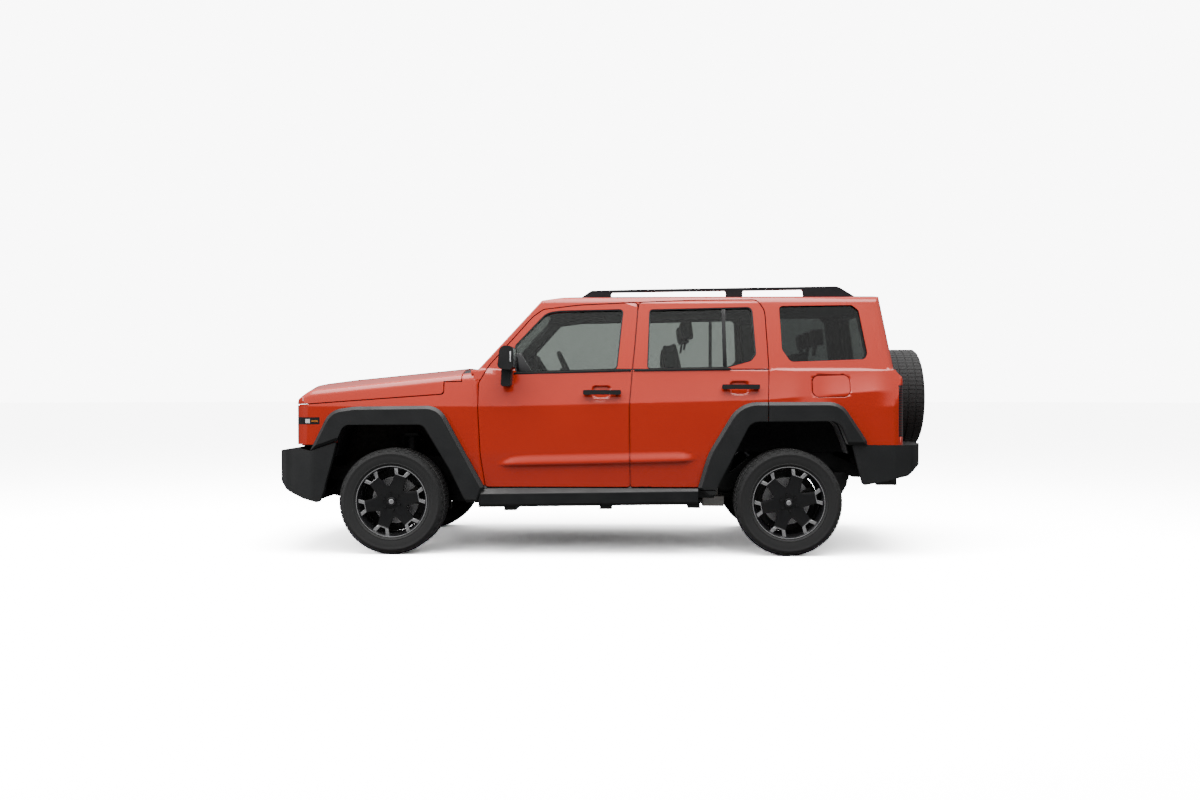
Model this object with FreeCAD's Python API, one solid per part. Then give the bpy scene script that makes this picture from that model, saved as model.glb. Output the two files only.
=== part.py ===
"""Five-door off-road 4x4 on a ladder frame, built as separate panels, glass, running gear and trim.

Millimetres. +X runs to the rear, +Y to the right-hand side and +Z up. The origin lies on the
ground, in the middle of the overall length and width. The left side is negative Y.
Every node is written to parts/NODE.step.
"""
import math
import os

import FreeCAD
import Part
from FreeCAD import Vector

os.makedirs("parts", exist_ok=True)

# ---------------------------------------------------------------- driving dimensions
LENGTH = 4740.0            # front bumper to spare wheel
FRONT_OVERHANG = 920.0     # front bumper to front axle
WHEELBASE = 2750.0
TRACK = 1608.0             # between tyre centre planes
FRONT_AXLE_X = -LENGTH / 2 + FRONT_OVERHANG
REAR_AXLE_X = FRONT_AXLE_X + WHEELBASE
REAR_END_X = LENGTH / 2

TYRE_RADIUS = 368.0
TYRE_WIDTH = 255.0
AXLE_Z = TYRE_RADIUS
RIM_RADIUS = 250.0         # out to the flange lip
RIM_WIDTH = 222.0

STEER_LOCK = 32.0          # degrees, knuckle
STEER_RATIO = 15.0         # steering wheel turns per knuckle turn
KINGPIN_Y = 715.0

# body shell
SHOULDER_Y = 924.0         # widest line of the doors
SHOULDER_Z = 1030.0
SILL_Y = 896.0
SILL_Z = 440.0
SILL_IN = 749.7            # inner face of the sill, less a seat's clearance
MID_DOOR_Y = 919.0
MID_DOOR_Z = 700.0
BELT_Y = 868.0
BELT_Z = 1283.0
NOSE_X = -2150.0           # grille face on the centre line
NOSE_CORNER_X = -2132.0
TAIL_X = 2106.0            # rear panel, below the belt
TAIL_CORNER_X = 2094.0
FRONT_CORNER_R = 130.0
REAR_CORNER_R = 110.0
SCREEN_BASE_X = -877.0     # windscreen line in side view
SCREEN_BASE_Z = 1262.0
SCREEN_TOP_X = -405.0
SCREEN_TOP_Z = 1790.0
ROOF_SIDE_Y = 742.0        # half width where the sides meet the roof
ROOF_Z = 1845.0            # top plane of the untrimmed greenhouse
ROOF_CROWN_Z = 1838.0
ROOF_TAIL_X = 1962.0       # rear end of the roof
GLASS_TAIL_X = 2050.0      # rear face of the greenhouse at the belt
ROOF_EDGE_R = 62.0
BONNET_SLOPE = 0.1        # rise of the bonnet per millimetre towards the screen

# walls and gaps
WALL_LOWER = 108.0         # whole thickness of a door below the belt
WALL_UPPER = 74.0          # whole thickness of frame and pillar above it
FLANGE = 36.0              # outer flange of a door
FLANGE_W = 58.0            # how far the flange laps the pillar
GAP = 7.0                  # shut lines
LAP_GAP = 7.0              # between a door flange and the pillar behind, filled by the seal
POST_GAP = 20.0            # between a door's inner box and the pillar, for its swing
SEAL_W = 14.0
SEAL_IN = 12.0             # seal inwards of the shut line
ROOF_SHEET = 42.0
DOOR_IN = 672.0            # no part of a door lies further in than this
SEAT_GAP = 0.3             # pieces that rest on each other without a weld
POST_EXTRA = 38.0          # pillars and sills are this much deeper than the doors
PANEL = 34.0               # bonnet and wings with their frames
GLASS_IN = 14.0            # glass lies this far inside the skin
GLASS_T = 6.0
GLASS_LAP = 12.0           # how far each pane reaches under its frame
FLAP_T = 8.0
FLAP_GAP = 6.0
DOOR_SILL_Z = 474.0        # lower edge of the doors
STEP_CLEAR = 8.0           # between the doors' lower edge and the step
SIDE_FRONT_X = -880.0      # front edge of the pillar pressing
BONNET_REAR_X = -966.0
GRILLE_X = -2156.0
GRILLE_Y = 792.0
GRILLE_Z0 = 748.0
GRILLE_Z1 = 1012.0
GRILLE_WALL = 22.0
SLATS = 4
SLOT_Y = 520.0
LAMP_CENTRE_Y = 654.0
LAMP_CENTRE_Z = 884.0
LAMP_RADIUS = 96.0
SIDE_LAMP_X1 = -1950.0
SIDE_LAMP_Z0 = 904.0
SIDE_LAMP_Z1 = 954.0
BUMPER_WALL = 34.0
TOW_Y = 400.0
TOW_THICK = 24.0
TOW_BORE = 32.0
FRONT_RAIL_X = -2200.0
FRONT_PLATE = 20.0         # how far the frame's front plate stands before it
FRONT_TOW_X = -2268.0
FLARE_Y = 964.0
FLARE_BEVEL = 22.0
FLARE_LAP = 8.0
RAIL_Y = 622.0
RAIL_W = 34.0
MIRROR_Y = 1088.0
LAMP_X = 2050.0
LAMP_Y = 718.0
LAMP_Z0 = 822.0
LAMP_Z1 = 1178.0
OUTRIGGERS = (-660.0, 0.0, 606.0)
OUTRIGGER_W = 84.0
OUTRIGGER_Z = 420.0
FRAME_Y = 368.0            # inner face of the frame rails
FRAME_W = 72.0
RAIL_DEPTH = 130.0
HITCH_X = 2230.0
RAIL_END_X = 2170.0
RAIL_TAIL_Z = 510.0        # under side of the rails at the tail
HITCH_OUT = 64.0
HITCH_IN = 51.0
HITCH_PIN_X = 2180.0
HITCH_PIN_R = 8.0
AXLE_END = 734.0
COIL_Y = 525.0
ARM_END = 738.0
KINGPIN_HALF = 150.0       # kingpin ball joints above and below the hub
STRUT_LOW_Y = 540.0
STRUT_TOP_Y = 504.0
STRUT_X = 70.0             # front springs stand behind the drive shafts
DISC_W0 = -56.0            # brake disc, across the wheel from its centre plane
DISC_W1 = -28.0
HUB_FACE = TRACK / 2 + DISC_W0 - SEAT_GAP
DISC_R = 166.0
DISC_AIR = 6.0
BEAD_R = 236.0
TYRE_STAVES = 64           # flats round a tyre
SPOKES = 6
SPOKE_PHASE = 11.0
SPOKE_W0 = 66.0
SPARE_HUB_W = SPOKE_W0 - 6.0  # the spare wheel seats on its carrier here
SPOKE_W1 = 98.0
SPARE_X = 2114.0           # front face of the spare tyre
SPARE_Z = 1085.0
FLOOR_Z = 545.0
LOAD_Z = 770.0
TUB_OUT = 800.0
TUB_IN = 560.0
TUB_WALL = 8.0
LINER_IN = 560.0
DASH_Y = 700.0
STEER_R = 170.0
STEER_GRIP = 15.0          # radius of the ring's section
STEER_CENTRE = (-250.0, -370.0, 1262.0)
STEER_AXIS = (0.911, 0.0, 0.412)
SEAT_W = 500.0
SEAT_BASE = 340.0
SEAT_Y = 370.0
BENCH_Y = 540.0
COWL_Y = 699.7

FAR = 1500.0               # beyond the body's sides
DEEP = 3000.0


# ---------------------------------------------------------------- shape helpers
def v(x, y, z):
    return Vector(x, y, z)


def place(plane, a, b, off=0.0):
    """Point (a, b) of a drawing plane at distance off along the plane's normal."""
    if plane == "XZ":
        return v(a, off, b)
    if plane == "YZ":
        return v(off, a, b)
    return v(a, b, off)


def rounded(rows, plane, off=0.0):
    """Closed wire through corner rows (a, b, corner radius); each corner becomes a tangent arc."""
    n = len(rows)
    starts, ends, mids = [], [], []
    for i in range(n):
        a, b, r = rows[i][0], rows[i][1], rows[i][2]
        pa, pb = rows[i - 1][0], rows[i - 1][1]
        na, nb = rows[(i + 1) % n][0], rows[(i + 1) % n][1]
        u = (pa - a, pb - b)
        w = (na - a, nb - b)
        lu, lw = math.hypot(*u), math.hypot(*w)
        u = (u[0] / lu, u[1] / lu)
        w = (w[0] / lw, w[1] / lw)
        turn = math.pi - math.acos(max(-1.0, min(1.0, u[0] * w[0] + u[1] * w[1])))
        if r <= 0 or turn < 1e-4:
            starts.append((a, b))
            ends.append((a, b))
            mids.append(None)
            continue
        t = min(r * math.tan(turn / 2), 0.49 * lu, 0.49 * lw)
        rad = t / math.tan(turn / 2)
        bis = (u[0] + w[0], u[1] + w[1])
        lb = math.hypot(*bis)
        reach = rad / math.cos(turn / 2) - rad
        starts.append((a + u[0] * t, b + u[1] * t))
        ends.append((a + w[0] * t, b + w[1] * t))
        mids.append((a + bis[0] / lb * reach, b + bis[1] / lb * reach))
    edges = []
    for i in range(n):
        if mids[i] is not None:
            edges.append(Part.Arc(place(plane, *starts[i], off), place(plane, *mids[i], off),
                                  place(plane, *ends[i], off)).toShape())
        j = (i + 1) % n
        p, q = place(plane, *ends[i], off), place(plane, *starts[j], off)
        if p.distanceToPoint(q) > 1e-4:
            edges.append(Part.LineSegment(p, q).toShape())
    return Part.Wire(Part.__sortEdges__(edges))


def prism(rows, plane, lo, hi, slope=(0.0, 0.0)):
    """Solid of a rounded outline between lo and hi along the plane's normal."""
    face = Part.Face(rounded(rows, plane, lo))
    d = hi - lo
    if plane == "XZ":
        vec = v(slope[0] * d, d, slope[1] * d)
    elif plane == "YZ":
        vec = v(d, slope[0] * d, slope[1] * d)
    else:
        vec = v(slope[0] * d, slope[1] * d, d)
    return face.extrude(vec)


def grow(rows, d):
    """The outline with every straight edge moved outwards by d; corner radii follow."""
    n = len(rows)
    area = sum(rows[i][0] * rows[(i + 1) % n][1] - rows[(i + 1) % n][0] * rows[i][1] for i in range(n))
    side = 1.0 if area > 0 else -1.0
    lines = []
    for i in range(n):
        a, b = rows[i][:2]
        c, e = rows[(i + 1) % n][:2]
        dx, dy = c - a, e - b
        ln = math.hypot(dx, dy)
        nx, ny = side * dy / ln, -side * dx / ln
        lines.append((a + nx * d, b + ny * d, dx / ln, dy / ln))
    out = []
    for i in range(n):
        x1, y1, ux, uy = lines[i - 1]
        x2, y2, wx, wy = lines[i]
        den = ux * wy - uy * wx
        convex = side * den > 0
        r = rows[i][2]
        if abs(den) < 1e-6:
            out.append((x2, y2, r))
            continue
        t = ((x2 - x1) * wy - (y2 - y1) * wx) / den
        r_new = max(0.0, r + d) if convex else max(0.0, r - d)
        out.append((x1 + ux * t, y1 + uy * t, r_new if r > 0 else 0.0))
    return out


def box(x0, x1, y0, y1, z0, z1):
    return Part.makeBox(x1 - x0, y1 - y0, z1 - z0, v(x0, y0, z0))


def rod(p, q, r):
    p, q = Vector(*p), Vector(*q)
    d = q.sub(p)
    return Part.makeCylinder(r, d.Length, p, d)


def ring(p, q, r_out, r_in):
    return rod(p, q, r_out).cut(rod(p, q, r_in))


def fuse(shapes):
    shapes = list(shapes)
    out = shapes[0]
    if len(shapes) > 1:
        out = out.fuse(shapes[1:])
    return out.removeSplitter()


def other_side(shape):
    """Mirror image of a left-hand shape on the right, or the reverse."""
    return shape.mirror(v(0, 0, 0), v(0, 1, 0))


def both(shape):
    return [shape, other_side(shape)]


def tube_path(points, r, bend):
    """Round bar through points, with bends of radius bend."""
    pts = [Vector(*p) for p in points]
    edges, here = [], pts[0]
    for i in range(1, len(pts) - 1):
        a = pts[i - 1].sub(pts[i]).normalize()
        b = pts[i + 1].sub(pts[i]).normalize()
        turn = math.pi - math.acos(max(-1, min(1, a.dot(b))))
        room = 0.45 * min(pts[i - 1].distanceToPoint(pts[i]), pts[i + 1].distanceToPoint(pts[i]))
        t = min(bend * math.tan(turn / 2), room)
        rad = t / math.tan(turn / 2)
        s, e = pts[i].add(a * t), pts[i].add(b * t)
        mid = pts[i].add((a + b).normalize() * (rad / math.cos(turn / 2) - rad))
        edges.append(Part.LineSegment(here, s).toShape())
        edges.append(Part.Arc(s, mid, e).toShape())
        here = e
    edges.append(Part.LineSegment(here, pts[-1]).toShape())
    path = Part.Wire(edges)
    circle = Part.Wire(Part.makeCircle(r, pts[0], pts[1].sub(pts[0])))
    return path.makePipeShell([circle], True, False, 2)


NODES = {}


def node(name, shapes):
    """Keep the solids of one named piece, or of like pieces on one body."""
    shapes = shapes if isinstance(shapes, (list, tuple)) else [shapes]
    solids = [s for shape in shapes for s in shape.Solids]
    NODES[name] = solids
    return solids


# ---------------------------------------------------------------- the outer form of the body
def two_sided(half):
    """Right-hand rows (first value Y) completed by the left-hand ones."""
    return half + [(-y, z, r) for y, z, r in reversed(half)]


def lower_form(inset, top=BELT_Z, x0=-2400.0, x1=2400.0):
    """The body below the belt, drawn inset by that many millimetres."""
    section = two_sided([
        (SILL_Y - inset, SILL_Z - 40.0, 0.0),
        (MID_DOOR_Y - inset, MID_DOOR_Z, 900.0),
        (SHOULDER_Y - inset, SHOULDER_Z, 24.0),
        (BELT_Y - inset - (top - BELT_Z) * 0.22, top, 0.0),
    ])
    return prism(section, "YZ", x0, x1)


def plan_form(inset):
    """The body seen from above."""
    half = 926.0 - inset
    rows = [  # x, y, corner radius
        (NOSE_X + inset, 0.0, 2600.0),
        (NOSE_CORNER_X + inset, half, FRONT_CORNER_R - min(inset, 90.0)),
        (TAIL_CORNER_X - inset, half, REAR_CORNER_R - min(inset, 90.0)),
        (TAIL_X - inset, 0.0, 2600.0),
        (TAIL_CORNER_X - inset, -half, REAR_CORNER_R - min(inset, 90.0)),
        (NOSE_CORNER_X + inset, -half, FRONT_CORNER_R - min(inset, 90.0)),
    ]
    return prism(rows, "XY", 300.0, 1500.0)


def nose_form(inset):
    """Front wings and bonnet as one block."""
    block = lower_form(inset, 1420.0, -2400.0, -850.0)
    top = two_sided([  # the bonnet across the car, at the front end of its slope
        (1000.0, 300.0, 0.0),
        (1000.0, 1080.0 - inset, 0.0),
        (700.0, 1138.0 - inset, 300.0),
        (450.0, 1152.0 - inset, 400.0),
    ])
    block = block.common(prism(top, "YZ", -2400.0, -800.0, (0.0, BONNET_SLOPE)))
    if inset < 60.0:
        high = [e for e in block.Edges if e.BoundBox.XLength > 1400 and e.BoundBox.Center.z > SHOULDER_Z + 25.0]
        reach = max(abs(e.BoundBox.Center.y) for e in high)
        block = block.makeFillet(62.0 - inset, [e for e in high if abs(e.BoundBox.Center.y) > reach - 1.0])
    side = [  # x, z, corner radius
        (NOSE_X - 20.0 + inset, 300.0, 0.0),
        (NOSE_X + 6.0 + inset, 1000.0, 200.0),
        (NOSE_X + 44.0 + inset, 1176.0 - inset, 70.0),
        (-1090.0, 1330.0 - inset, 260.0),
        (-800.0, 1246.0 - inset, 0.0),
        (-800.0, 300.0, 0.0),
    ]
    return block.common(prism(side, "XZ", -1000.0, 1000.0)).common(plan_form(inset))


def greenhouse_form(inset):
    """Cabin above the belt: tumblehome sides and rounded roof, cut by curved screens front and rear."""
    side = (BELT_Y - 6.0 - ROOF_SIDE_Y) / (ROOF_CROWN_Z - 60.0 - BELT_Z)
    low = BELT_Z - 30.0
    section = two_sided([
        (BELT_Y - 6.0 - inset + side * (BELT_Z - low), low, 0.0),
        (ROOF_SIDE_Y - 4.0 - inset, ROOF_CROWN_Z - 42.0 - inset, ROOF_EDGE_R),
        (430.0, ROOF_CROWN_Z - 12.0 - inset, 900.0),
    ]) [:]
    solid = prism(section, "YZ", -1100.0, 2300.0)

    def outline(x0, x1, z):
        half = 6.0 + BELT_Y - inset - side * (z - BELT_Z)
        rows = [
            (x0 + 8, 0.0, 4000.0),
            (x0 + 42, half, 50.0),
            (x1 - 14, half, 80.0),
            (x1, 0.0, 4000.0),
            (x1 - 14, -half, 80.0),
            (x0 + 42, -half, 50.0),
        ]
        return rounded(rows, "XY", z)

    lean = (SCREEN_TOP_X - SCREEN_BASE_X) / (SCREEN_TOP_Z - SCREEN_BASE_Z)
    tail = (GLASS_TAIL_X - ROOF_TAIL_X) / (ROOF_Z - BELT_Z)
    z0, z1 = low - 10.0, ROOF_Z + 40.0
    x_front = SCREEN_BASE_X + inset * 1.1 - 42.0
    base = outline(x_front + lean * (z0 - SCREEN_BASE_Z), GLASS_TAIL_X - inset + tail * (BELT_Z - z0), z0)
    top = outline(x_front + lean * (z1 - SCREEN_BASE_Z), GLASS_TAIL_X - inset - tail * (z1 - BELT_Z), z1)
    ends = Part.makeLoft([base, top], True, True)
    profile = [  # x, z, corner radius: the roof in side view
        (-2400.0, 900.0, 0.0),
        (-2400.0, ROOF_CROWN_Z - 560.0 - inset, 0.0),
        (-470.0, ROOF_CROWN_Z - 70.0 - inset, 60.0),
        (-150.0, ROOF_CROWN_Z - 20.0 - inset, 900.0),
        (1250.0, ROOF_CROWN_Z - inset, 9000.0),
        (2040.0, ROOF_CROWN_Z - 12.0 - inset, 0.0),
        (2400.0, 900.0, 0.0),
    ]
    return solid.common(ends).common(prism(profile, "XZ", -1000.0, 1000.0))


def body_form(low, high):
    """Whole body with nose: inset low below the belt and high above it."""
    hull = lower_form(low, BELT_Z, -900.0, 2300.0).common(plan_form(low))
    return hull.fuse([nose_form(low), greenhouse_form(high)])


# ---------------------------------------------------------------- outlines in side view (X, Z, corner radius)
FRONT_DOOR = [
    (-792.0, DOOR_SILL_Z, 20.0), (-826.0, 700.0, 500.0), (-842.0, 1010.0, 500.0), (-840.0, 1195.0, 60.0),
    (-768.0, 1318.0, 200.0), (-474.0, 1656.0, 200.0), (-402.0, 1708.0, 60.0), (-145.0, 1739.0, 900.0),
    (263.0, 1757.0, 28.0), (236.0, 1430.0, 0.0), (221.0, 1283.0, 500.0), (201.0, 1030.0, 700.0),
    (202.0, 800.0, 700.0), (207.0, DOOR_SILL_Z, 18.0),
]
REAR_DOOR = [
    (214.0, DOOR_SILL_Z, 18.0), (209.0, 800.0, 700.0), (208.0, 1030.0, 700.0), (229.0, 1283.0, 500.0),
    (244.0, 1430.0, 0.0), (271.0, 1757.0, 28.0), (629.0, 1771.0, 900.0), (1098.0, 1774.0, 60.0),
    (1146.0, 1700.0, 120.0), (1160.0, 1422.0, 500.0), (1165.0, 1283.0, 300.0), (1156.0, 1080.0, 0.0),
    (1152.0, 800.0, 0.0), (1152.0, DOOR_SILL_Z, 0.0),
]
FRONT_WINDOW = [
    (-592.0, 1264.0, 24.0), (120.0, 1284.0, 34.0), (164.0, 1713.0, 26.0), (-282.0, 1704.0, 300.0),
    (-380.0, 1690.0, 120.0), (-599.0, 1455.0, 30.0),
]
REAR_WINDOW = [
    (326.0, 1287.0, 24.0), (880.0, 1296.0, 60.0), (1050.0, 1345.0, 40.0), (1084.0, 1390.0, 26.0),
    (1064.0, 1727.0, 40.0), (342.0, 1711.0, 26.0),
]
QUARTER_WINDOW = [
    (1320.0, 1338.0, 40.0), (1834.0, 1356.0, 40.0), (1850.0, 1400.0, 30.0), (1802.0, 1700.0, 30.0),
    (1756.0, 1738.0, 26.0), (1250.0, 1732.0, 24.0), (1262.0, 1424.0, 60.0),
]
FUEL_FLAP = [(1466.0, 1096.0, 42.0), (1716.0, 1102.0, 42.0), (1716.0, 1246.0, 42.0), (1466.0, 1240.0, 42.0)]
FRONT_ARCH = [
    (-1935.0, 300.0, 0.0), (-1908.0, 480.0, 0.0), (-1822.0, 790.0, 50.0), (-1775.0, 903.0, 60.0),
    (-1222.0, 906.0, 60.0), (-1031.0, 591.0, 0.0), (-888.0, 300.0, 0.0),
]
FRONT_FLARE = [
    (-2012.0, 722.0, 0.0), (-1872.0, 1004.0, 150.0), (-1700.0, 1029.0, 300.0), (-1110.0, 1036.0, 150.0),
    (-800.0, 472.0, 0.0), (-838.0, 366.0, 0.0), (-930.0, 366.0, 0.0), (-1300.0, 700.0, 0.0),
    (-1822.0, 790.0, 0.0),
]
REAR_ARCH = [
    (745.0, 300.0, 0.0), (818.0, 500.0, 0.0), (1038.0, 928.0, 90.0), (1640.0, 932.0, 90.0),
    (1708.0, 761.0, 0.0), (1835.0, 300.0, 0.0),
]
REAR_FLARE = [
    (676.0, 470.0, 0.0), (745.0, 705.0, 500.0), (960.0, 1060.0, 220.0), (1652.0, 1062.0, 160.0),
    (1825.0, 800.0, 0.0), (1828.0, 766.0, 0.0), (1640.0, 766.0, 0.0), (1300.0, 640.0, 0.0),
    (850.0, 403.0, 0.0), (742.0, 403.0, 0.0),
]
FRONT_BUMPER_SIDE = [
    (-1905.0, 470.0, 20.0), (-1950.0, 360.0, 20.0), (-2060.0, 386.0, 60.0), (-2300.0, 486.0, 50.0),
    (-2374.0, 530.0, 30.0), (-2374.0, 690.0, 40.0), (-2290.0, 716.0, 40.0), (-2125.0, 742.0, 0.0),
    (-2013.0, 720.0, 0.0), (-1826.0, 786.0, 10.0),
]
FRONT_BUMPER_PLAN = [
    (-2379.0, 0.0, 2400.0), (-2322.0, 610.0, 300.0), (-2190.0, 890.0, 160.0), (-2000.0, 950.0, 120.0),
    (-1700.0, 952.0, 0.0),
]
REAR_BUMPER_SIDE = [
    (1728.0, 765.0, 8.0), (1800.0, 490.0, 24.0), (2160.0, 498.0, 40.0), (2238.0, 560.0, 40.0),
    (2252.0, 712.0, 20.0), (2272.0, 740.0, 10.0), (2264.0, 767.0, 10.0),
]
REAR_BUMPER_PLAN = [
    (2274.0, 0.0, 2400.0), (2256.0, 620.0, 200.0), (2190.0, 890.0, 140.0), (2020.0, 938.0, 120.0),
    (1500.0, 942.0, 0.0),
]
TAILGATE = [  # y, z, corner radius
    (-704.0, 782.0, 30.0), (704.0, 782.0, 30.0), (704.0, 1250.0, 300.0), (628.0, 1778.0, 60.0),
    (-628.0, 1778.0, 60.0), (-704.0, 1250.0, 300.0),
]
TAIL_WINDOW = [
    (-590.0, 1330.0, 40.0), (590.0, 1330.0, 40.0), (548.0, 1716.0, 50.0), (-548.0, 1716.0, 50.0),
]
SCREEN_OPENING = [
    (-742.0, 1296.0, 60.0), (742.0, 1296.0, 60.0), (640.0, 1742.0, 60.0), (-640.0, 1742.0, 60.0),
]
BONNET_SIDE = [
    (-2300.0, 1031.0, 0.0), (-1089.0, 1119.0, 24.0), (-1089.0, 1206.0, 0.0), (BONNET_REAR_X, 1206.0, 0.0),
    (BONNET_REAR_X, 1500.0, 0.0), (-2300.0, 1500.0, 0.0),
]


def thru(rows, lo=-FAR, hi=FAR):
    """Prism of a side-view outline through the whole width, or through the y range given."""
    return prism(rows, "XZ", lo, hi)


def along_x(rows, lo, hi):
    return prism(rows, "YZ", lo, hi)


# ---------------------------------------------------------------- body shell, doors and lids
class Forms:
    """The body's outer surface and the insets that every panel is cut from."""

    def __init__(self):
        self.outer = body_form(0.0, 0.0)
        self.flange = body_form(FLANGE, FLANGE)
        self.seal = body_form(FLANGE + SEAT_GAP, FLANGE + SEAT_GAP)
        self.lap = body_form(FLANGE + LAP_GAP, FLANGE + LAP_GAP)
        self.door_inner = body_form(WALL_LOWER, WALL_UPPER)
        self.body_inner = body_form(WALL_LOWER + POST_EXTRA, WALL_UPPER + POST_EXTRA)
        self.sheet = body_form(ROOF_SHEET, ROOF_SHEET)


def largest(shape):
    return sorted(shape.Solids, key=lambda s: -s.Volume)[0]


def pane(outline, forms_pair, axis="XZ", lo=-FAR, hi=0.0):
    """Glass that follows the skin and reaches under the frame all round."""
    outer, inner = forms_pair
    return largest(outer.common(prism(grow(outline, GLASS_LAP), axis, lo, hi)).cut(inner))


def build_doors(f, glass_forms):
    arch = thru(grow(REAR_ARCH, FLARE_LAP))
    for tag, outline, window in (("front", FRONT_DOOR, FRONT_WINDOW), ("rear", REAR_DOOR, REAR_WINDOW)):
        slab = f.outer.common(thru(outline, -FAR, -DOOR_IN)).cut(f.door_inner)
        rim = f.flange.cut(thru(grow(outline, -FLANGE_W), -FAR, -300.0))
        door = slab.cut(rim)
        if tag == "rear":
            door = door.cut(arch)
            door = door.cut(f.flange.common(thru(grow(REAR_ARCH, FLARE_LAP + FLANGE_W - 20.0), -FAR, -300.0)))
        door = door.cut(thru(window, -FAR, -300.0))
        glass = pane(window, glass_forms)
        door = door.cut(glass)
        node(tag + "_door_left", door)
        node(tag + "_door_glass_left", glass)
        node(tag + "_door_right", other_side(door))
        node(tag + "_door_glass_right", other_side(glass))


def build_sides(f, glass_forms):
    """Pillars, sill, rear quarter and roof rail of each side as one pressing."""
    region = [
        (SIDE_FRONT_X, 400.0, 0.0), (SIDE_FRONT_X, 1258.0, 0.0), (BONNET_REAR_X + GAP, 1258.0, 0.0),
        (BONNET_REAR_X + GAP, 1900.0, 0.0), (2400.0, 1900.0, 0.0), (2400.0, 767.0, 0.0), (1700.0, 767.0, 0.0),
        (1600.0, 400.0, 0.0),
    ]
    side = f.outer.common(thru(region, -FAR, 0.0)).cut(f.body_inner)
    roof_cut = along_x(ROOF_REGION, -1200.0, 2400.0)
    side = side.cut(roof_cut)
    side = side.cut(along_x(SCREEN_OPENING, -1200.0, 0.0)).cut(box(-1300.0, -300.0, -700.0, 0.0, 1200.0, 1700.0))
    gate = along_x(grow(TAILGATE, GAP), TAIL_X - 420.0, 2400.0).cut(f.lap)
    gate_in = along_x(grow(TAILGATE, -FLANGE_W + POST_GAP), 1500.0, 2400.0)
    side = side.cut(gate).cut(gate_in)
    for outline in (FRONT_DOOR, REAR_DOOR):
        side = side.cut(thru(grow(outline, GAP), -FAR, 0.0).cut(f.lap))
        side = side.cut(thru(grow(outline, -FLANGE_W + POST_GAP), -FAR, -300.0))
    seals = []
    for outline in (FRONT_DOOR, REAR_DOOR):
        band = thru(grow(outline, -SEAL_IN), -FAR, -DOOR_IN).cut(thru(grow(outline, -SEAL_IN - SEAL_W), -FAR, 0.0))
        seals += f.seal.common(band).cut(f.lap).cut(box(0.0, 3000.0, -FAR, 0.0, 0.0, 470.0)).Solids
    band = along_x(grow(TAILGATE, -SEAL_IN), 1900.0, 2400.0).cut(along_x(grow(TAILGATE, -SEAL_IN - SEAL_W), 1800.0, 2400.0))
    seals += f.seal.common(band).cut(f.lap).common(box(1900.0, 2400.0, -FAR, -668.0, 785.0, 1742.0)).Solids
    side = side.fuse(seals)
    side = side.cut(thru(grow(REAR_ARCH, FLARE_LAP), -FAR, 0.0))
    side = side.cut(thru(QUARTER_WINDOW, -FAR, -300.0))
    quarter = pane(QUARTER_WINDOW, glass_forms)
    side = side.cut(quarter)
    flap = f.outer.common(thru(FUEL_FLAP, -FAR, -300.0)).cut(f.flap)
    side = side.cut(thru(grow(FUEL_FLAP, FLAP_GAP), -FAR, -300.0).cut(f.pocket))
    stop = rod((1690.0, -840.0, 1170.0), (1690.0, -930.0, 1170.0), 9.0).common(f.stop)
    side = side.fuse(stop)
    lamp = box(LAMP_X, 2200.0, -FAR, -LAMP_Y, LAMP_Z0, LAMP_Z1)
    side = side.cut(lamp)
    return side, quarter, flap


ROOF_REGION = [(-668.0, 2100.0, 0.0), (-668.0, 1742.0, 0.0), (668.0, 1742.0, 0.0), (668.0, 2100.0, 0.0)]


def build_front(f):
    """Bonnet and front wings."""
    nose = nose_form(0.0)
    skin = nose.cut(nose_form(PANEL))
    bonnet = skin.common(thru(BONNET_SIDE))
    bonnet = bonnet.cut(box(BONNET_REAR_X, 0.0, -FAR, FAR, 300.0, 1600.0))
    node("bonnet", bonnet)
    wing_region = [
        (-2300.0, 764.0, 0.0), (-2300.0, 1024.0, 0.0), (-1082.0, 1112.0, 24.0), (-1082.0, 1199.0, 0.0),
        (BONNET_REAR_X + GAP, 1199.0, 0.0), (BONNET_REAR_X + GAP, 1257.0, 0.0),
        (SIDE_FRONT_X - SEAT_GAP, 1257.0, 0.0), (SIDE_FRONT_X - SEAT_GAP, 400.0, 0.0), (-1700.0, 400.0, 0.0),
        (-1900.0, 764.0, 0.0),
    ]
    wing = skin.common(thru(wing_region, -FAR, 0.0))
    wing = wing.cut(thru(grow(FRONT_DOOR, GAP), -FAR, 0.0))
    wing = wing.cut(thru(grow(FRONT_ARCH, FLARE_LAP), -FAR, 0.0))
    wing = wing.cut(box(-2300.0, -2020.0, -GRILLE_Y - 3.0, FAR, 300.0, 1300.0))
    wing = wing.cut(box(-2300.0, -800.0, -600.0, FAR, 300.0, 1300.0)).cut(thru(grow(FRONT_BUMPER_SIDE, 1.0), -FAR, 0.0))
    cheek = f.outer.common(box(-2300.0, SIDE_LAMP_X1, -FAR, -820.0, SIDE_LAMP_Z0, SIDE_LAMP_Z1))
    lens = cheek.cut(nose_form(PANEL - 8.0))
    wing = wing.cut(lens)
    node("front_wings", both(wing))
    return nose, lens


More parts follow.
